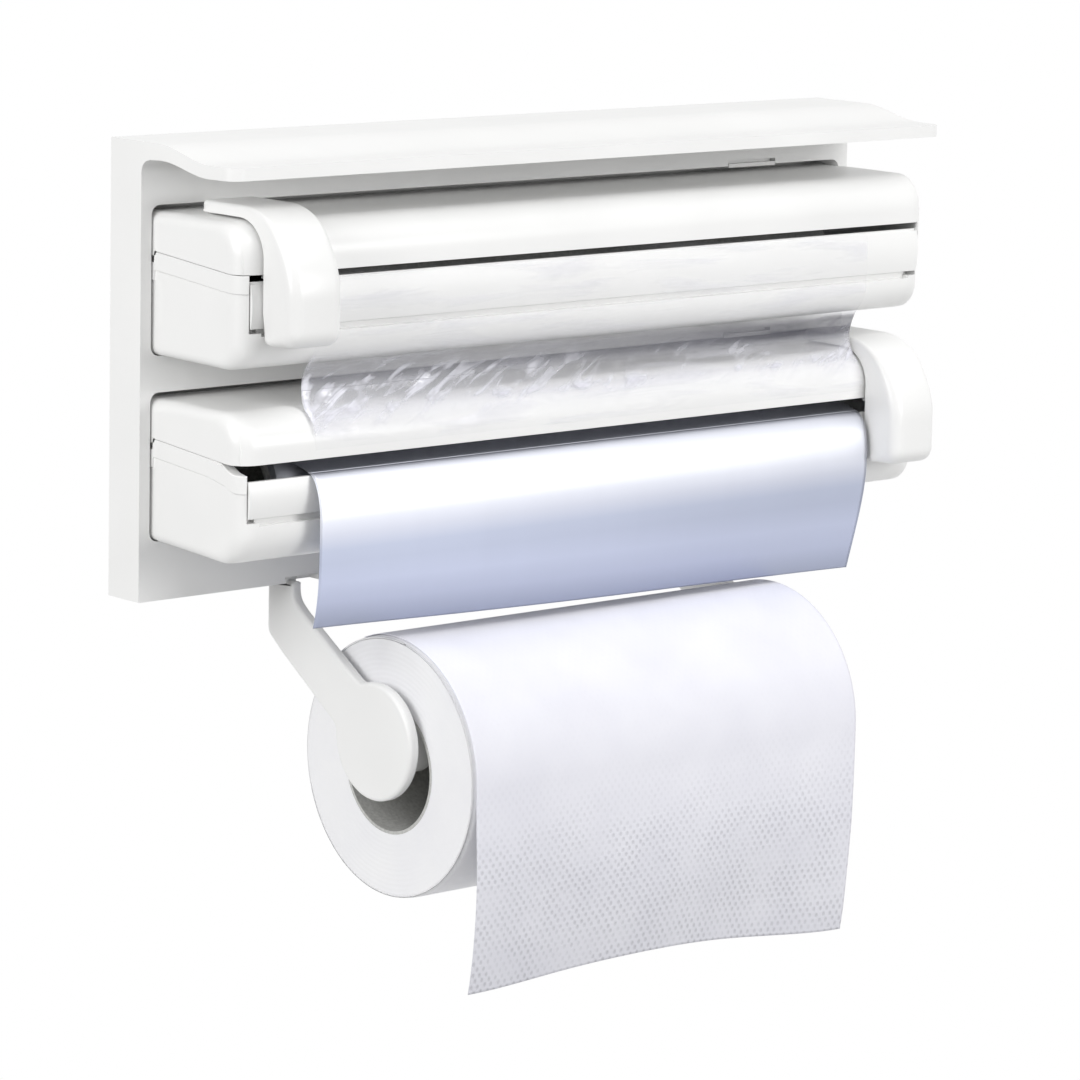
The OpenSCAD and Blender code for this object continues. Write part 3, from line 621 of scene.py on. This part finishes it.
def tray_section(depth, hollow, rim, sag, dip):
    """One closed section of a tray: the outer wall down the front, under the floor and up the rear, then
    either the inner wall back to the front or the end wall's top edge. The top follows the seam, and the
    floor sags by a ramp towards the front that fades out with the height."""
    front_in, edge_in = drawn_in(END_FRONT_R, depth), drawn_in(END_EDGE_R, depth)
    front, back, low, top = CAS_FRONT + front_in, CAS_BACK - edge_in, edge_in, SEAM - SEAM_GAP
    r = TRAY_R - (front_in + edge_in) / 2
    groove_in, groove_low, groove_top = GROOVE if depth > POCKET_REACH else POCKET
    if hollow:
        lip, groove = front + LIP_BACK, front + groove_in
        face = [[lip, rim], [lip, (rim + groove_top) / 2], [lip, groove_top], [groove, groove_top],
                [groove, groove_low], [front, groove_low]]
        inner = [[back - SHELL_T, top], [back - SHELL_T, FLOOR_FILLET], [back - FLOOR_FILLET, SHELL_T],
                 [INSIDE_Y, SHELL_T], [CAS_FRONT + TRAY_R, SHELL_T], [LEDGE[0], FLOOR_FILLET], LEDGE,
                 [CAS_FRONT + SHELL_T, LEDGE[1]], [CAS_FRONT + SHELL_T, rim]]
    else:
        levels = (top, (top + groove_top) / 2, groove_top, groove_top, groove_low, groove_low)
        face = [[front, z] for z in levels]
        places = (-14.0, *edge_places(-32.0, -44.0, -56.0, -64.0, -70.0, -74.0))
        inner = [[max(y, front + 0.2), top] for y in places]
    outer = np.concatenate([
        face,
        arc(front + r, low + r, r, 180, 270, 12),
        straight(front + r, low, back - TRAY_REAR_R, low, 8)[1:-1],
        arc(back - TRAY_REAR_R, low + TRAY_REAR_R, TRAY_REAR_R, 270, 360, 5),
        [[back, top / 2], [back, top]]])
    y, z = np.concatenate([outer, inner]).T
    z = np.where(z > top - 1e-6, tray_edge(y, dip), z)
    z = z - sag * np.clip((SAG_BACK - y) / SAG_LENGTH, 0, 1) * np.clip(1 - z / SAG_TOP, 0, 1)
    return np.stack([y, z], 1)


def collar_band(side, half, floor, dip):
    """The band round one end of a tray, under the seam: a small closed section, (out along the normal, up
    from the tray's edge), carried along the end face and round its front corner."""
    along = (-9.5, *edge_places(-32.0, -44.0, -56.0))
    turn = np.radians(np.linspace(0, BAND_TURN, 9))
    y = np.concatenate([along, CAS_FRONT + END_FRONT_R - END_FRONT_R * np.sin(turn)])
    x = np.concatenate([np.full(len(along), half), half - END_FRONT_R * (1 - np.cos(turn))])
    nx = np.concatenate([np.ones(len(along)), np.cos(turn)])[:, None]
    ny = np.concatenate([np.zeros(len(along)), -np.sin(turn)])[:, None]
    out, up = np.array(BAND_SECTION).T
    z = tray_edge(y, dip)[:, None] + up + floor
    points = np.stack([side * (x[:, None] + nx * out), y[:, None] + ny * out, z], -1)
    return points, capped_faces(*points.shape[:2])


def hinge_ear(side, floor):
    """One hinge ear inside the lid: a round-topped tongue as a thin moulding along X."""
    foot = SEAM - EAR_FOOT
    outline = np.concatenate([[[HINGE_Y + EAR_R, foot]], arc(HINGE_Y, SEAM + EAR_R, EAR_R, 0, 180, 15),
                              [[HINGE_Y - EAR_R, foot]]])
    x0, x1 = sorted(side * x for x in EAR_ENDS)
    return moulding(outline + [0, floor], x0, x1, EDGE_R, 2)


def tray_parts(floor, slot_h, sag, dip):
    """A tray: its shell with quarter-round ends, and at each end a collar band under the seam and a hinge
    ear."""
    half = CAS_HALF - COLLAR
    wall = half - SLOT_HALF
    solid = round_depths(0, 10, 20, 30, 40, 50) + [wall]
    open_in = [wall, 7.0, END_FRONT_R, POCKET_REACH - 0.1, POCKET_REACH + 0.1, 12.0]
    stations = [(depth, False) for depth in solid] + [(depth, True) for depth in open_in]
    shape = SEAM - slot_h, sag, dip
    parts = [end_to_end(lambda depth, hollow: tray_section(depth, hollow, *shape), stations, half, floor)]
    for side in (-1, 1):
        parts += [collar_band(side, half, floor, dip), hinge_ear(side, floor)]
    return parts


def lid_section(depth, hollow):
    """One closed section of a lid: the outer wall up the front, over the top and down the rear, then
    either the inner wall back to the front or the lower edge of the end wall. The top sinks a little
    towards the rear by a smooth step, and the lower edge follows the seam."""
    front_in, top_in = drawn_in(END_FRONT_R, depth), drawn_in(LID_END_TOP_R, depth)
    front, top, back = CAS_FRONT + front_in, CAS_H - top_in, CAS_BACK - drawn_in(LID_END_BACK_R, depth)
    r = LID_R - (front_in + top_in) / 2
    outer = np.concatenate([
        straight(front, SEAM, front, top - r, 4)[:-1],
        arc(front + r, top - r, r, 180, 90, 18),
        straight(front + r, top, back - LID_REAR_R, top, 8)[1:-1],
        arc(back - LID_REAR_R, top - LID_REAR_R, LID_REAR_R, 90, 0, 5),
        [[back, SEAM]]])
    if hollow:
        rear, ceiling = CAS_BACK - SHELL_T, CAS_H - SHELL_T
        inner = np.concatenate([
            [[rear, SEAM], [rear, ceiling], [LID_INSIDE_Y, ceiling]],
            arc(CAS_FRONT + LID_R, CAS_H - LID_R, LID_R - SHELL_T, 90, 180, 7),
            [[CAS_FRONT + SHELL_T, SEAM]]])
    else:
        places = (-14.0, *edge_places(-28.0, -36.0, -44.0, -52.0, -58.0, -64.0, -70.0, -74.0))
        inner = np.array([[max(y, front + 0.2), SEAM] for y in places])
    y, z = np.concatenate([outer, inner]).T
    z = z - LID_SINK * smooth((y - LID_SINK_FRONT) / LID_SINK_LENGTH) * (z > CAS_H - LID_SINK_H)
    lower = SEAM + np.where(y < FRAME_EDGE, seam_rise(y), LID_REAR_LIFT)
    return np.stack([y, np.maximum(z, lower)], 1)


def lid_parts(floor):
    """A lid: its shell with quarter-round ends, closed by end walls."""
    solid = round_depths(0, 10, 20, 30, 40) + [LID_WALL]
    open_in = [LID_WALL] + round_depths(50, 60, 70, 80, 90)
    stations = [(depth, False) for depth in solid] + [(depth, True) for depth in open_in]
    return [end_to_end(lid_section, stations, CAS_HALF, floor)]


TRAYS = (("upper_tray", UPPER_FLOOR, UPPER_TRAY), ("lower_tray", LOWER_FLOOR, LOWER_TRAY))
for name, floor, shape in TRAYS:
    tray = piece(name + "_tub", tray_parts(floor, *shape), WHITE)
    finish_edges(tray, EDGE_R)
    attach(tray, name.replace("tray", "cassette"))
    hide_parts(name)

for name, floor in (("upper_lid", UPPER_FLOOR), ("lower_lid", LOWER_FLOOR)):
    lid = piece(name + "_shell", lid_parts(floor), WHITE)
    finish_edges(lid, EDGE_R)
    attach(lid, name)
    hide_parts(name)


# Cutters

def cutter_parts(floor, side):
    """A cutter: its hook-shaped side outline, arm over the lid and thick leg in front, as a moulding
    along X, with wide round edges on the leg, narrow ones on the arm and sharp ones where it hugs the
    lid, and small boxes for the rail hook in the slot, its upturned lip and the pad under the arm."""
    inner, front, rear = -76.9, -96.0, -38.0
    low, top, roof = 10.0, 62.2, 57.5
    toe_r, sole_r, hug_r, nose_r, tail_r, notch_r = 3.0, 6.0, 15.0, 33.0, 1.8, 1.5
    arm_edge, leg_edge, toe_edge, hug_edge = 1.8, 4.8, 2.4, 0.5
    leg_y, leg_z, leg_fade = -60.0, 60.0, (18.0, 14.0)
    toe_reach, toe_fade = 4.0, 8.0
    hug_above, hug_fade, touch = low + 2.0, 10.0, 0.5
    box_in = 2.0
    outline = np.concatenate([
        arc(inner - toe_r, low + toe_r, toe_r, 270, 360, 10),
        straight(inner, low + toe_r + 1, inner, roof - hug_r, 8),
        arc(inner + hug_r, roof - hug_r, hug_r, 180, 90, 14)[1:],
        straight(inner + hug_r + 1, roof, rear - notch_r, roof, 8),
        arc(rear - notch_r, roof + notch_r, notch_r, 270, 360, 5)[1:],
        arc(rear - tail_r, top - tail_r, tail_r, 0, 90, 6),
        straight(rear - 3, top, front + nose_r, top, 8),
        arc(front + nose_r, top - nose_r, nose_r, 90, 180, 26)[1:],
        straight(front, top - nose_r - 1, front, low + sole_r + 1, 7),
        arc(front + sole_r, low + sole_r, sole_r, 180, 270, 9),
        straight(front + sole_r + 1, low, inner - toe_r - 1, low, 5)])
    y, z = outline.T
    leg = smooth((leg_y - y) / leg_fade[0]) * smooth((leg_z - z) / leg_fade[1])
    from_toe = smooth((np.hypot(y - inner, z - low) - toe_reach) / toe_fade)
    hugs = ((y > inner - touch) & (z < roof + touch)) * smooth((z - hug_above) / hug_fade)
    edge = np.minimum(arm_edge + (leg_edge - arm_edge) * leg, toe_edge * (1 + from_toe))
    edge = edge * (1 - hugs) + hug_edge * hugs
    x0 = CUTTER_PARK if side > 0 else -CUTTER_PARK - CUTTER_W
    parts = [moulding(outline + [0, floor], x0, x0 + CUTTER_W, edge, 8)]
    hook, lip, pad = (-78.0, 35.2, -71.6, 36.7), (-73.3, 35.2, -71.6, 39.1), (-43.0, 57.0, -39.0, 58.5)
    for y0, z0, y1, z1 in (hook, lip, pad):
        parts.append(box_part((x0 + box_in, y0, floor + z0), (x0 + CUTTER_W - box_in, y1, floor + z1)))
    return parts


for name, floor, side in (("upper_cutter", UPPER_FLOOR, -1), ("lower_cutter", LOWER_FLOOR, 1)):
    cutter = piece(name + "_grip", cutter_parts(floor, side), WHITE)
    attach(cutter, name)
    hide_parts(name)


# Arms

def arm_outline():
    """An arm's side outline, anticlockwise: neck under the rail, slanting bar and round end, spaced
    evenly, with each point below the neck's top moved to the mean of itself and its neighbours four
    times."""
    neck_back, neck_front, neck_top, soft_below = -1.5, -18.5, -90.1, -92.5
    outline = np.concatenate([
        arc(-4.0, -112.0, 2.5, 304, 360, 5),
        [[neck_back, -98.0], [neck_back, neck_top], [neck_front, neck_top], [neck_front, -95.4],
         [-19.6, -97.6], [-25.5, -102.0]],
        arc(*DISC, DISC_R, 67.5, 366, 64)])
    dense = spaced(np.concatenate([outline, outline[:1]]), 220)[0][:-1]
    for _ in range(4):
        calm = (np.roll(dense, 1, 0) + 2 * dense + np.roll(dense, -1, 0)) / 4
        dense = np.where(dense[:, 1:] < soft_below, calm, dense)
    return dense


def arm_parts(side):
    """An arm: its outline as a flat moulding with rounder edges at the rear, a peg with a shallow hollow
    turned about the disc's axis, and boxes for the stem and the foot that slide in the frame's rail."""
    edge_r, rear_extra, rear_from, rear_over = 1.5, 0.9, -12.0, 8.0
    outline = arm_outline()
    edge = edge_r + rear_extra * smooth((outline[:, 0] - rear_from) / rear_over)
    x0 = ARM_INNER if side > 0 else -ARM_INNER - ARM_T
    root, tip = ARM_INNER + 0.5, ARM_INNER - PEG_L
    peg_edge, hollow_r, hollow_depth, axis_r = 1.2, 11.6, 2.0, 0.5
    peg = np.array([[root, PEG_R], [tip + peg_edge, PEG_R], [tip + 0.4, PEG_R - 0.35],
                    [tip, PEG_R - peg_edge], [tip, hollow_r], [tip + 0.5, hollow_r - 0.6],
                    [tip + hollow_depth, hollow_r - 1.0], [tip + hollow_depth, axis_r], [root, axis_r]])
    peg[:, 0] *= side
    outer, foot_l = ARM_INNER + ARM_T, 34.0
    stem = sorted((side * ARM_INNER, side * outer)), (-14.4, -5.6), (-91.0, -86.5)
    foot = sorted((side * outer, side * (outer - foot_l))), (-16.9, -3.2), (-87.15, -84.15)
    return [moulding(outline, x0, x0 + ARM_T, edge, 5), lathe(peg, *DISC), box_part(*zip(*stem)),
            box_part(*zip(*foot))]


for name, side in (("left_arm", -1), ("right_arm", 1)):
    arm = piece(name + "_bar", arm_parts(side), WHITE)
    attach(arm, name)
    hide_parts(name)


# Wound rolls

def wound_roll(half, inner, outer, y, z, x_shift, pitch, turns, length_steps, dents=0.0):
    """A wound roll: closed section of outer face, two ends and bore, carried round the axis. The ends
    have a spiral of layer edges, a sine in (radius - pitch * turn). With dents, the outer face carries
    dimples and its rims are eased by a squared step."""
    edge_depth, rim, ease_over, ease = 0.03, 0.3, 2.5, 1.2
    t = np.linspace(0, 2 * math.pi, turns, endpoint=False)
    layers = np.linspace(outer, inner, int((outer - inner) / pitch * 5))
    x = np.concatenate([np.linspace(-half, half, length_steps), np.full(len(layers) - 1, half),
                        np.linspace(half, -half, 5)[1:], np.full(len(layers) - 2, -half)])
    r = np.concatenate([np.full(length_steps, outer), layers[1:], np.full(4, inner), layers[::-1][1:-1]])
    x, r, t = np.broadcast_arrays(x[:, None], r[:, None], t[None])
    end = (np.abs(x) > half - 1e-6) & (r > inner + rim) & (r < outer - rim)
    layer_edge = edge_depth * (1 + np.sin(2 * math.pi * (r / pitch - t / (2 * math.pi))))
    x = np.where(end, x - np.sign(x) * layer_edge, x)
    if dents:
        across, down = ROLL_EMBOSS
        girth = 2 * math.pi * outer
        dimple = emboss(x, t / (2 * math.pi) * girth, across, girth / round(girth / down))
        eased = ease * smooth((np.abs(x) - (half - ease_over)) / ease_over) ** 2
        r = np.where(r > outer - 1e-6, r + dents * dimple - eased, r)
    points = np.stack([x + x_shift, y + r * np.cos(t), z + r * np.sin(t)], -1)
    return points, grid_faces(*x.shape, True, True)


def roll_z(floor, r):
    """Height of a film or foil roll's axis: it lies on a cassette's inner floor."""
    return floor + ROLL_LIFT + r


ROLLS = (("film_roll", "film_spool", FILM, "film",
          dict(half=SHEET_HALF, inner=ROLL_CORE_R, outer=FILM_ROLL_R, y=ROLL_Y,
               z=roll_z(UPPER_FLOOR, FILM_ROLL_R), x_shift=0.0, pitch=1.0, turns=96, length_steps=12)),
         ("foil_roll", "foil_spool", FOIL, "foil",
          dict(half=SHEET_HALF, inner=ROLL_CORE_R, outer=FOIL_ROLL_R, y=ROLL_Y,
               z=roll_z(LOWER_FLOOR, FOIL_ROLL_R), x_shift=-FOIL_SHIFT, pitch=1.0, turns=96,
               length_steps=12)),
         ("kitchen_roll", "kitchen_spool", TISSUE, "tissue",
          dict(half=PAPER_HALF, inner=PAPER_CORE_OUT, outer=PAPER_R, y=PAPER_Y, z=PAPER_Z, x_shift=0.0,
               pitch=2.0, turns=250, length_steps=165, dents=0.22)))
for name, body, material, slot, sizes in ROLLS:
    points, faces = wound_roll(**sizes)
    uv = points[..., [0, 2]] * MM
    roll = piece(name + "_wound", [(points, faces)], material, uv)
    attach(roll, body)
    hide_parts(name)


# Sheets

def both_ways(rows, columns):
    """Parameters from 0 to 1, down the rows and across the columns."""
    return np.linspace(0, 1, rows)[:, None], np.linspace(0, 1, columns)[None]


def hang(line, x0, x1, sway, rise=0.0):
    """Sheet over a side path: rows along the path, columns along X from x0 to x1, moved back along the
    path's normal by sway and upwards by rise. Returns points and flat coordinates (along X, back along
    the path)."""
    n = outward(line, closed=False)
    y = line[:, :1] - n[:, :1] * sway
    z = line[:, 1:] - n[:, 1:] * sway + rise
    x = np.broadcast_to(x0 + (x1 - x0) * np.linspace(0, 1, sway.shape[1])[None], y.shape)
    flat = np.stack(np.broadcast_arrays(x, -along_line(line)[:, None]), -1)
    return np.stack([x, y, z], -1), flat


def leave(r, floor, rim):
    """Where the tangent from the rim meets the top of a roll: the angle to the rim less acos(r /
    distance)."""
    centre = np.array([ROLL_Y, roll_z(floor, r)])
    d = rim - centre
    a = math.atan2(d[1], d[0]) - math.acos((r + SHEET_GAP) / math.hypot(*d))
    return centre + (r + SHEET_GAP) * np.array([math.cos(a), math.sin(a)])


def sheet_piece(name, points, flat, material, thick, marks=()):
    """A thin sheet of that thickness with its flat UV map; marks are named values per point."""
    obj = piece(name, [(points, grid_faces(*points.shape[:2]))], material, flat * MM)
    for mark, value in marks:
        attribute = obj.data.attributes.new(mark, "FLOAT", "POINT")
        attribute.data.foreach_set("value", value.astype(np.float32).ravel())
    solid = obj.modifiers.new("thickness", "SOLIDIFY")
    solid.thickness, solid.offset = thick * MM, 0.0
    return obj


def foil_sheet():
    """Foil: straight from its roll to the tray's rim, a full curve to the front, then down and back by a
    fourth power, with slow waves, its right lower corner swung back and its lower edge rising to the
    left. Also returns the row at the rim."""
    free_from, ripple_from, swing_from = 0.55, 0.3, 0.35
    ripple_h, swing_back, swing_in, left_rise = 0.12, 4.0, 3.0, 8.0
    rows, columns = FOIL_GRID
    rim = np.array([CAS_FRONT + 1.4, LOWER_FLOOR + SEAM - FOIL_SLOT + 0.9])
    crest = np.array([CAS_FRONT - FOIL_BULGE, LOWER_FLOOR + FOIL_CREST])
    off = leave(FOIL_ROLL_R, LOWER_FLOOR, rim)
    curve = bezier([rim, rim + [-5, -1.6], crest + [0, 9], crest], 40)
    drop = np.linspace(0, 1, 30)
    fall = np.stack([crest[0] + FOIL_TUCK * drop ** 4, crest[1] + (FOIL_LOW - crest[1]) * drop], 1)
    line, length = spaced(np.concatenate([[off], curve, fall[1:]]), rows)
    u, v = both_ways(rows, columns)
    free = smooth((u - free_from) / 0.45)
    slow = waves(u * length, v * SHEET_W, count=9, short=60, long=150, seed=3)
    ripple = ripple_h * slow * smooth((u - ripple_from) / 0.2)
    sway = swing_back * free * smooth((v - swing_from) / 0.65) + ripple
    left, right = -SHEET_HALF - FOIL_SHIFT, SHEET_HALF - FOIL_SHIFT - swing_in * free
    points, flat = hang(line, left, right, sway, left_rise * (1 - v) * free)
    return points, flat, round(np.hypot(*(rim - off)) / length * (rows - 1))


points, flat, cut = foil_sheet()
run = sheet_piece("foil_sheet_run", points[:cut + 1], flat[:cut + 1], FOIL, 0.12)
foil = sheet_piece("foil_sheet_hanging", points[cut:], flat[cut:], FOIL, 0.12)
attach(run, "lower_cassette")
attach(foil, "lower_cassette")
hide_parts("foil_sheet")
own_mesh(foil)


def kitchen_sheet():
    """Kitchen paper: the roll's outer layer from behind its top, over the front and straight down. Its
    free end swings back by a power of the way down, with slow waves, dimples along its normal, and a torn
    edge that bows up in the middle. Its start lies down on the roll."""
    curl_from, curl_power, curl_left, curl_less = 0.2, 2.6, 6.8, 2.0
    wave_mean, wave_h, twin_h, lay_h, dent_h = 0.5, 0.9, 1.5, 0.42, 0.08
    left_rise, bow = 4.2, 5.0
    rows, columns = PAPER_GRID
    r = PAPER_R + SHEET_GAP
    wrap = arc(PAPER_Y, PAPER_Z, r, 70, 180, 100)
    line, length = spaced(np.concatenate([wrap, [[PAPER_Y - r, PAPER_Z - PAPER_TAIL]]]), rows)
    u, v = both_ways(rows, columns)
    tail = PAPER_TAIL / length
    hung = (u - (1 - tail)) / tail
    free = smooth(hung * 1.15)
    curl = np.clip((hung - curl_from) / 0.8, 0, 1) ** curl_power
    slow = waves(u * length, v * PAPER_WAVE_W, count=7, short=60, long=140, seed=11)
    slow = np.maximum(wave_mean + wave_h * slow, 0.0)
    twin = twin_h * np.sin(2 * math.pi * v) ** 2
    lay = lay_h * (1 - smooth(u / 0.05))
    sway = curl * (curl_left - curl_less * v) + free * (twin + slow) + lay
    rise = free * (left_rise * (1 - v) + bow * np.sin(math.pi * v) ** 2)
    left, right = -PAPER_HALF + 1.2 + 3.3 * free, PAPER_HALF - 0.5 - 0.6 * free
    points, flat = hang(line, left, right, sway, rise)
    dents = dent_h * free * emboss(points[..., 0], u * length, EMBOSS_ACROSS, EMBOSS_DOWN)
    points[..., 1:] += outward(line, closed=False)[:, None] * dents[..., None]
    return points, flat


points, flat = kitchen_sheet()
paper = sheet_piece("kitchen_sheet_hanging", points, flat, SHEET_TISSUE_PAINTED_SHADE, 0.3)
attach(paper, "frame")
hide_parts("kitchen_sheet")


def film_path():
    """Side path of the film: from its roll over the rim, down the tray's front and half round its lower
    edge, loosely down to the lower lid, and over its front edge. Also gives the lengths up to each of
    these four."""
    rim = np.array([CAS_FRONT + 1.6, UPPER_FLOOR + SEAM - FILM_SLOT + SHEET_GAP])
    turn = arc(CAS_FRONT + TRAY_R, UPPER_FLOOR + TRAY_R, TRAY_R + FILM_CLEAR, 180, 225, 14)
    lap = arc(CAS_FRONT + LID_R, LOWER_FLOOR + CAS_H - LID_R, LID_R + FILM_CLEAR, 125, 180, 18)
    fall = bezier([turn[-1], turn[-1] + [5, -5], lap[0] + [6, 7], lap[0]], 24)
    parts = [np.array([leave(FILM_ROLL_R, UPPER_FLOOR, rim), rim, rim - [1.6, 0],
                       [CAS_FRONT - FILM_CLEAR, rim[1] - 1.4]]),
             turn, fall[1:], np.concatenate([lap[1:], lap[-1:] - [0, 2]])]
    ends = [along_line(np.concatenate(parts[:k + 1]))[-1] for k in range(4)]
    return np.concatenate(parts), ends


def film_sheet():
    """Film: its path, pushed out by slow puffs and fine creases that grow towards its left edge, once it
    is off the tray. Also returns the rows where its pieces part, how slack it is at each point, from
    smooth steps along it and a bell at the left, and how much painted shade it carries over the gap."""
    rows, columns = FILM_GRID
    line, ends = film_path()
    line, length = spaced(line, rows)
    u, v = both_ways(rows, columns)
    s, x = u * length, v * SHEET_W
    past_turn, past_fall = s - ends[1], s - ends[2]
    off = smooth((past_turn + 4) / 8)  # 0 on the tray, 1 where it hangs
    lies = smooth(past_fall / 14)  # 0 where it hangs, 1 on the lower lid
    puffs = 0.8 * (0.35 + 0.3 * waves(s, x, count=8, short=12, long=40, seed=21))
    fine = 0.9 * creases(s, x, count=90, width=0.8, reach=16, seed=5, lean=(-60, 60))
    fine = fine * (0.35 + 0.65 * np.exp(-x / 90))
    close = 0.1 * np.abs(waves(s, x, count=8, short=15, long=60, seed=8))
    sway = -(off * (puffs + fine) + (1 - off) * close)
    gathers = 0.35 + 0.75 * smooth((past_turn - 5) / 11)  # looser further down
    across = 0.36 + 0.6 * np.exp(-(x / 110) ** 2) + 0.4 * smooth((x - 262) / 30)  # loosest at the left
    on_lid = 0.4 * np.exp(-((past_fall - 1) / 2.0) ** 2) * smooth((x - 70) / 60)  # where it meets the lid
    edge = np.exp(-((x - 1.2 - 0.8 * np.sin(s / 4)) / 1.5) ** 2)  # a wandering line at the left edge
    fold = np.clip(edge * (0.9 + 0.5 * waves(s, x, count=5, short=6, long=20, seed=2)), 0, 1)
    slack = np.clip(off * (1 - 0.97 * lies) * across * gathers + on_lid, 0, 1) + off * (1 - lies) * fold
    over_gap = smooth((past_turn - 2) / 5) * (1 - smooth((past_fall + 12) / 6))
    # Painted shade: how grey the film is painted over the gap, more towards the right.
    cast = over_gap * (0.38 + 0.82 * (x / SHEET_W) ** 2)
    points, flat = hang(line, -SHEET_HALF, SHEET_HALF, sway)
    splits = np.array([0, ends[1] - 6, ends[1] + 5, ends[1] + 15.5, length]) / length
    return points, flat, np.rint(splits * (rows - 1)).astype(int), slack, cast


points, flat, cut, slack, cast = film_sheet()
films = []
for k, name in enumerate(("film_sheet_front", "film_sheet_fall", "film_sheet_drop", "film_sheet_lap")):
    part = slice(cut[k], cut[k + 1] + 1)
    films.append(sheet_piece(name, points[part], flat[part], FILM, 0.05,
                             (("slack", slack[part]), ("cast", cast[part]))))
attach(films[0], "upper_cassette")
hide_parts("film_sheet")
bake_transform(films[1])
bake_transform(films[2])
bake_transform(films[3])


# Stage: pale floor that fades out, soft studio light and the photograph's camera

def studio_floor():
    """Pale matt floor well below the part: a disc that fades into the white surroundings towards its
    rim."""
    radius, fade_from = 800.0, 350.0
    middle_y, drop = -70.0, -620.0
    mat, tree = start("pale_studio_floor")
    place = add(tree, "ShaderNodeTexCoord")
    away = add(tree, "ShaderNodeVectorMath", {"operation": "LENGTH"}, i0=(place, "Object"))
    fade = add(tree, "ShaderNodeMapRange", Value=(away, "Value"), From_Min=fade_from * MM,
               From_Max=radius * MM, To_Min=1.0, To_Max=0.0)
    shader = add(tree, "ShaderNodeBsdfPrincipled", Base_Color=linear("#f4f4f4"), Roughness=0.9,
                 Alpha=(fade, 0))
    add(tree, "ShaderNodeOutputMaterial", Surface=(shader, 0))
    t = np.linspace(0, 2 * math.pi, 64, endpoint=False)
    ring = np.stack([radius * np.cos(t), radius * np.sin(t), 0 * t], 1)
    floor = piece("studio_floor", [(ring, [list(range(64))])], mat)
    floor.location = (0, middle_y * MM, drop * MM)


def lamp(name, place, size, watts):
    """Square soft lamp that looks at the middle of the part, both places in metres."""
    target = Vector((0, -0.05, -0.05))
    data = bpy.data.lights.new(name, "AREA")
    data.energy, data.size = watts, size
    obj = bpy.data.objects.new(name, data)
    bpy.context.scene.collection.objects.link(obj)
    obj.location = place
    obj.rotation_euler = (target - Vector(place)).to_track_quat("-Z", "Y").to_euler()


def surroundings():
    """White for camera, glossy and transmitted rays, and for the rest a soft light that grows from below
    to above."""
    world = bpy.data.worlds.new("studio")
    bpy.context.scene.world = world
    world.use_nodes = True
    tree = world.node_tree
    tree.nodes.clear()
    path = add(tree, "ShaderNodeLightPath")
    seen = add(tree, "ShaderNodeMath", {"operation": "MAXIMUM"},
               i0=(path, "Is Camera Ray"), i1=(path, "Is Glossy Ray"))
    seen = add(tree, "ShaderNodeMath", {"operation": "MAXIMUM"},
               i0=(seen, 0), i1=(path, "Is Transmission Ray"))
    place = add(tree, "ShaderNodeTexCoord")
    way = add(tree, "ShaderNodeSeparateXYZ", Vector=(place, "Generated"))
    soft = add(tree, "ShaderNodeMapRange", Value=(way, "Z"), From_Min=-0.7, From_Max=0.7,
               To_Min=0.18, To_Max=0.62)
    level = add(tree, "ShaderNodeMix", {"data_type": "FLOAT"}, Factor=(seen, 0), A=(soft, 0), B=1.0)
    back = add(tree, "ShaderNodeBackground", Color=(1, 1, 1, 1), Strength=(level, 0))
    add(tree, "ShaderNodeOutputWorld", Surface=(back, 0))


def photo_camera():
    """Camera of the photograph: turned 41 degrees to the left, looking 10 degrees down, with a long lens.
    Seen from it, the part's origin lies at shift, as lengths to the right, up and ahead, before it is
    raised by lift."""
    yaw, pitch, roll = np.radians([41.005, 10.191, 1.270])
    shift, lift = np.array([-24.421, 86.171, 2011.252]), 0.7
    ahead = np.array([math.sin(yaw) * math.cos(pitch), math.cos(yaw) * math.cos(pitch), -math.sin(pitch)])
    right = np.array([math.cos(yaw), -math.sin(yaw), 0.0])
    up = np.cross(right, ahead)
    right, up = math.cos(roll) * right + math.sin(roll) * up, -math.sin(roll) * right + math.cos(roll) * up
    place = (-(shift[0] * right + shift[1] * up + shift[2] * ahead) + [0, 0, lift]) * MM
    data = bpy.data.cameras.new("photo_camera")
    data.sensor_width, data.lens, data.clip_end = 36.0, 160.97, 50.0
    camera = bpy.data.objects.new("photo_camera", data)
    bpy.context.scene.collection.objects.link(camera)
    rows = [[right[k], up[k], -ahead[k], place[k]] for k in range(3)]
    camera.matrix_world = Matrix(rows + [[0, 0, 0, 1]])
    bpy.context.scene.camera = camera


studio_floor()
lamp("key_softbox", (0.35, -1.05, 1.25), 0.7, 7.2)
lamp("left_softbox", (-1.55, -0.25, 0.45), 0.9, 13.0)
lamp("right_softbox", (0.6, -1.6, 0.32), 0.6, 9.0)
surroundings()
photo_camera()
bpy.context.scene.view_settings.view_transform = "Standard"
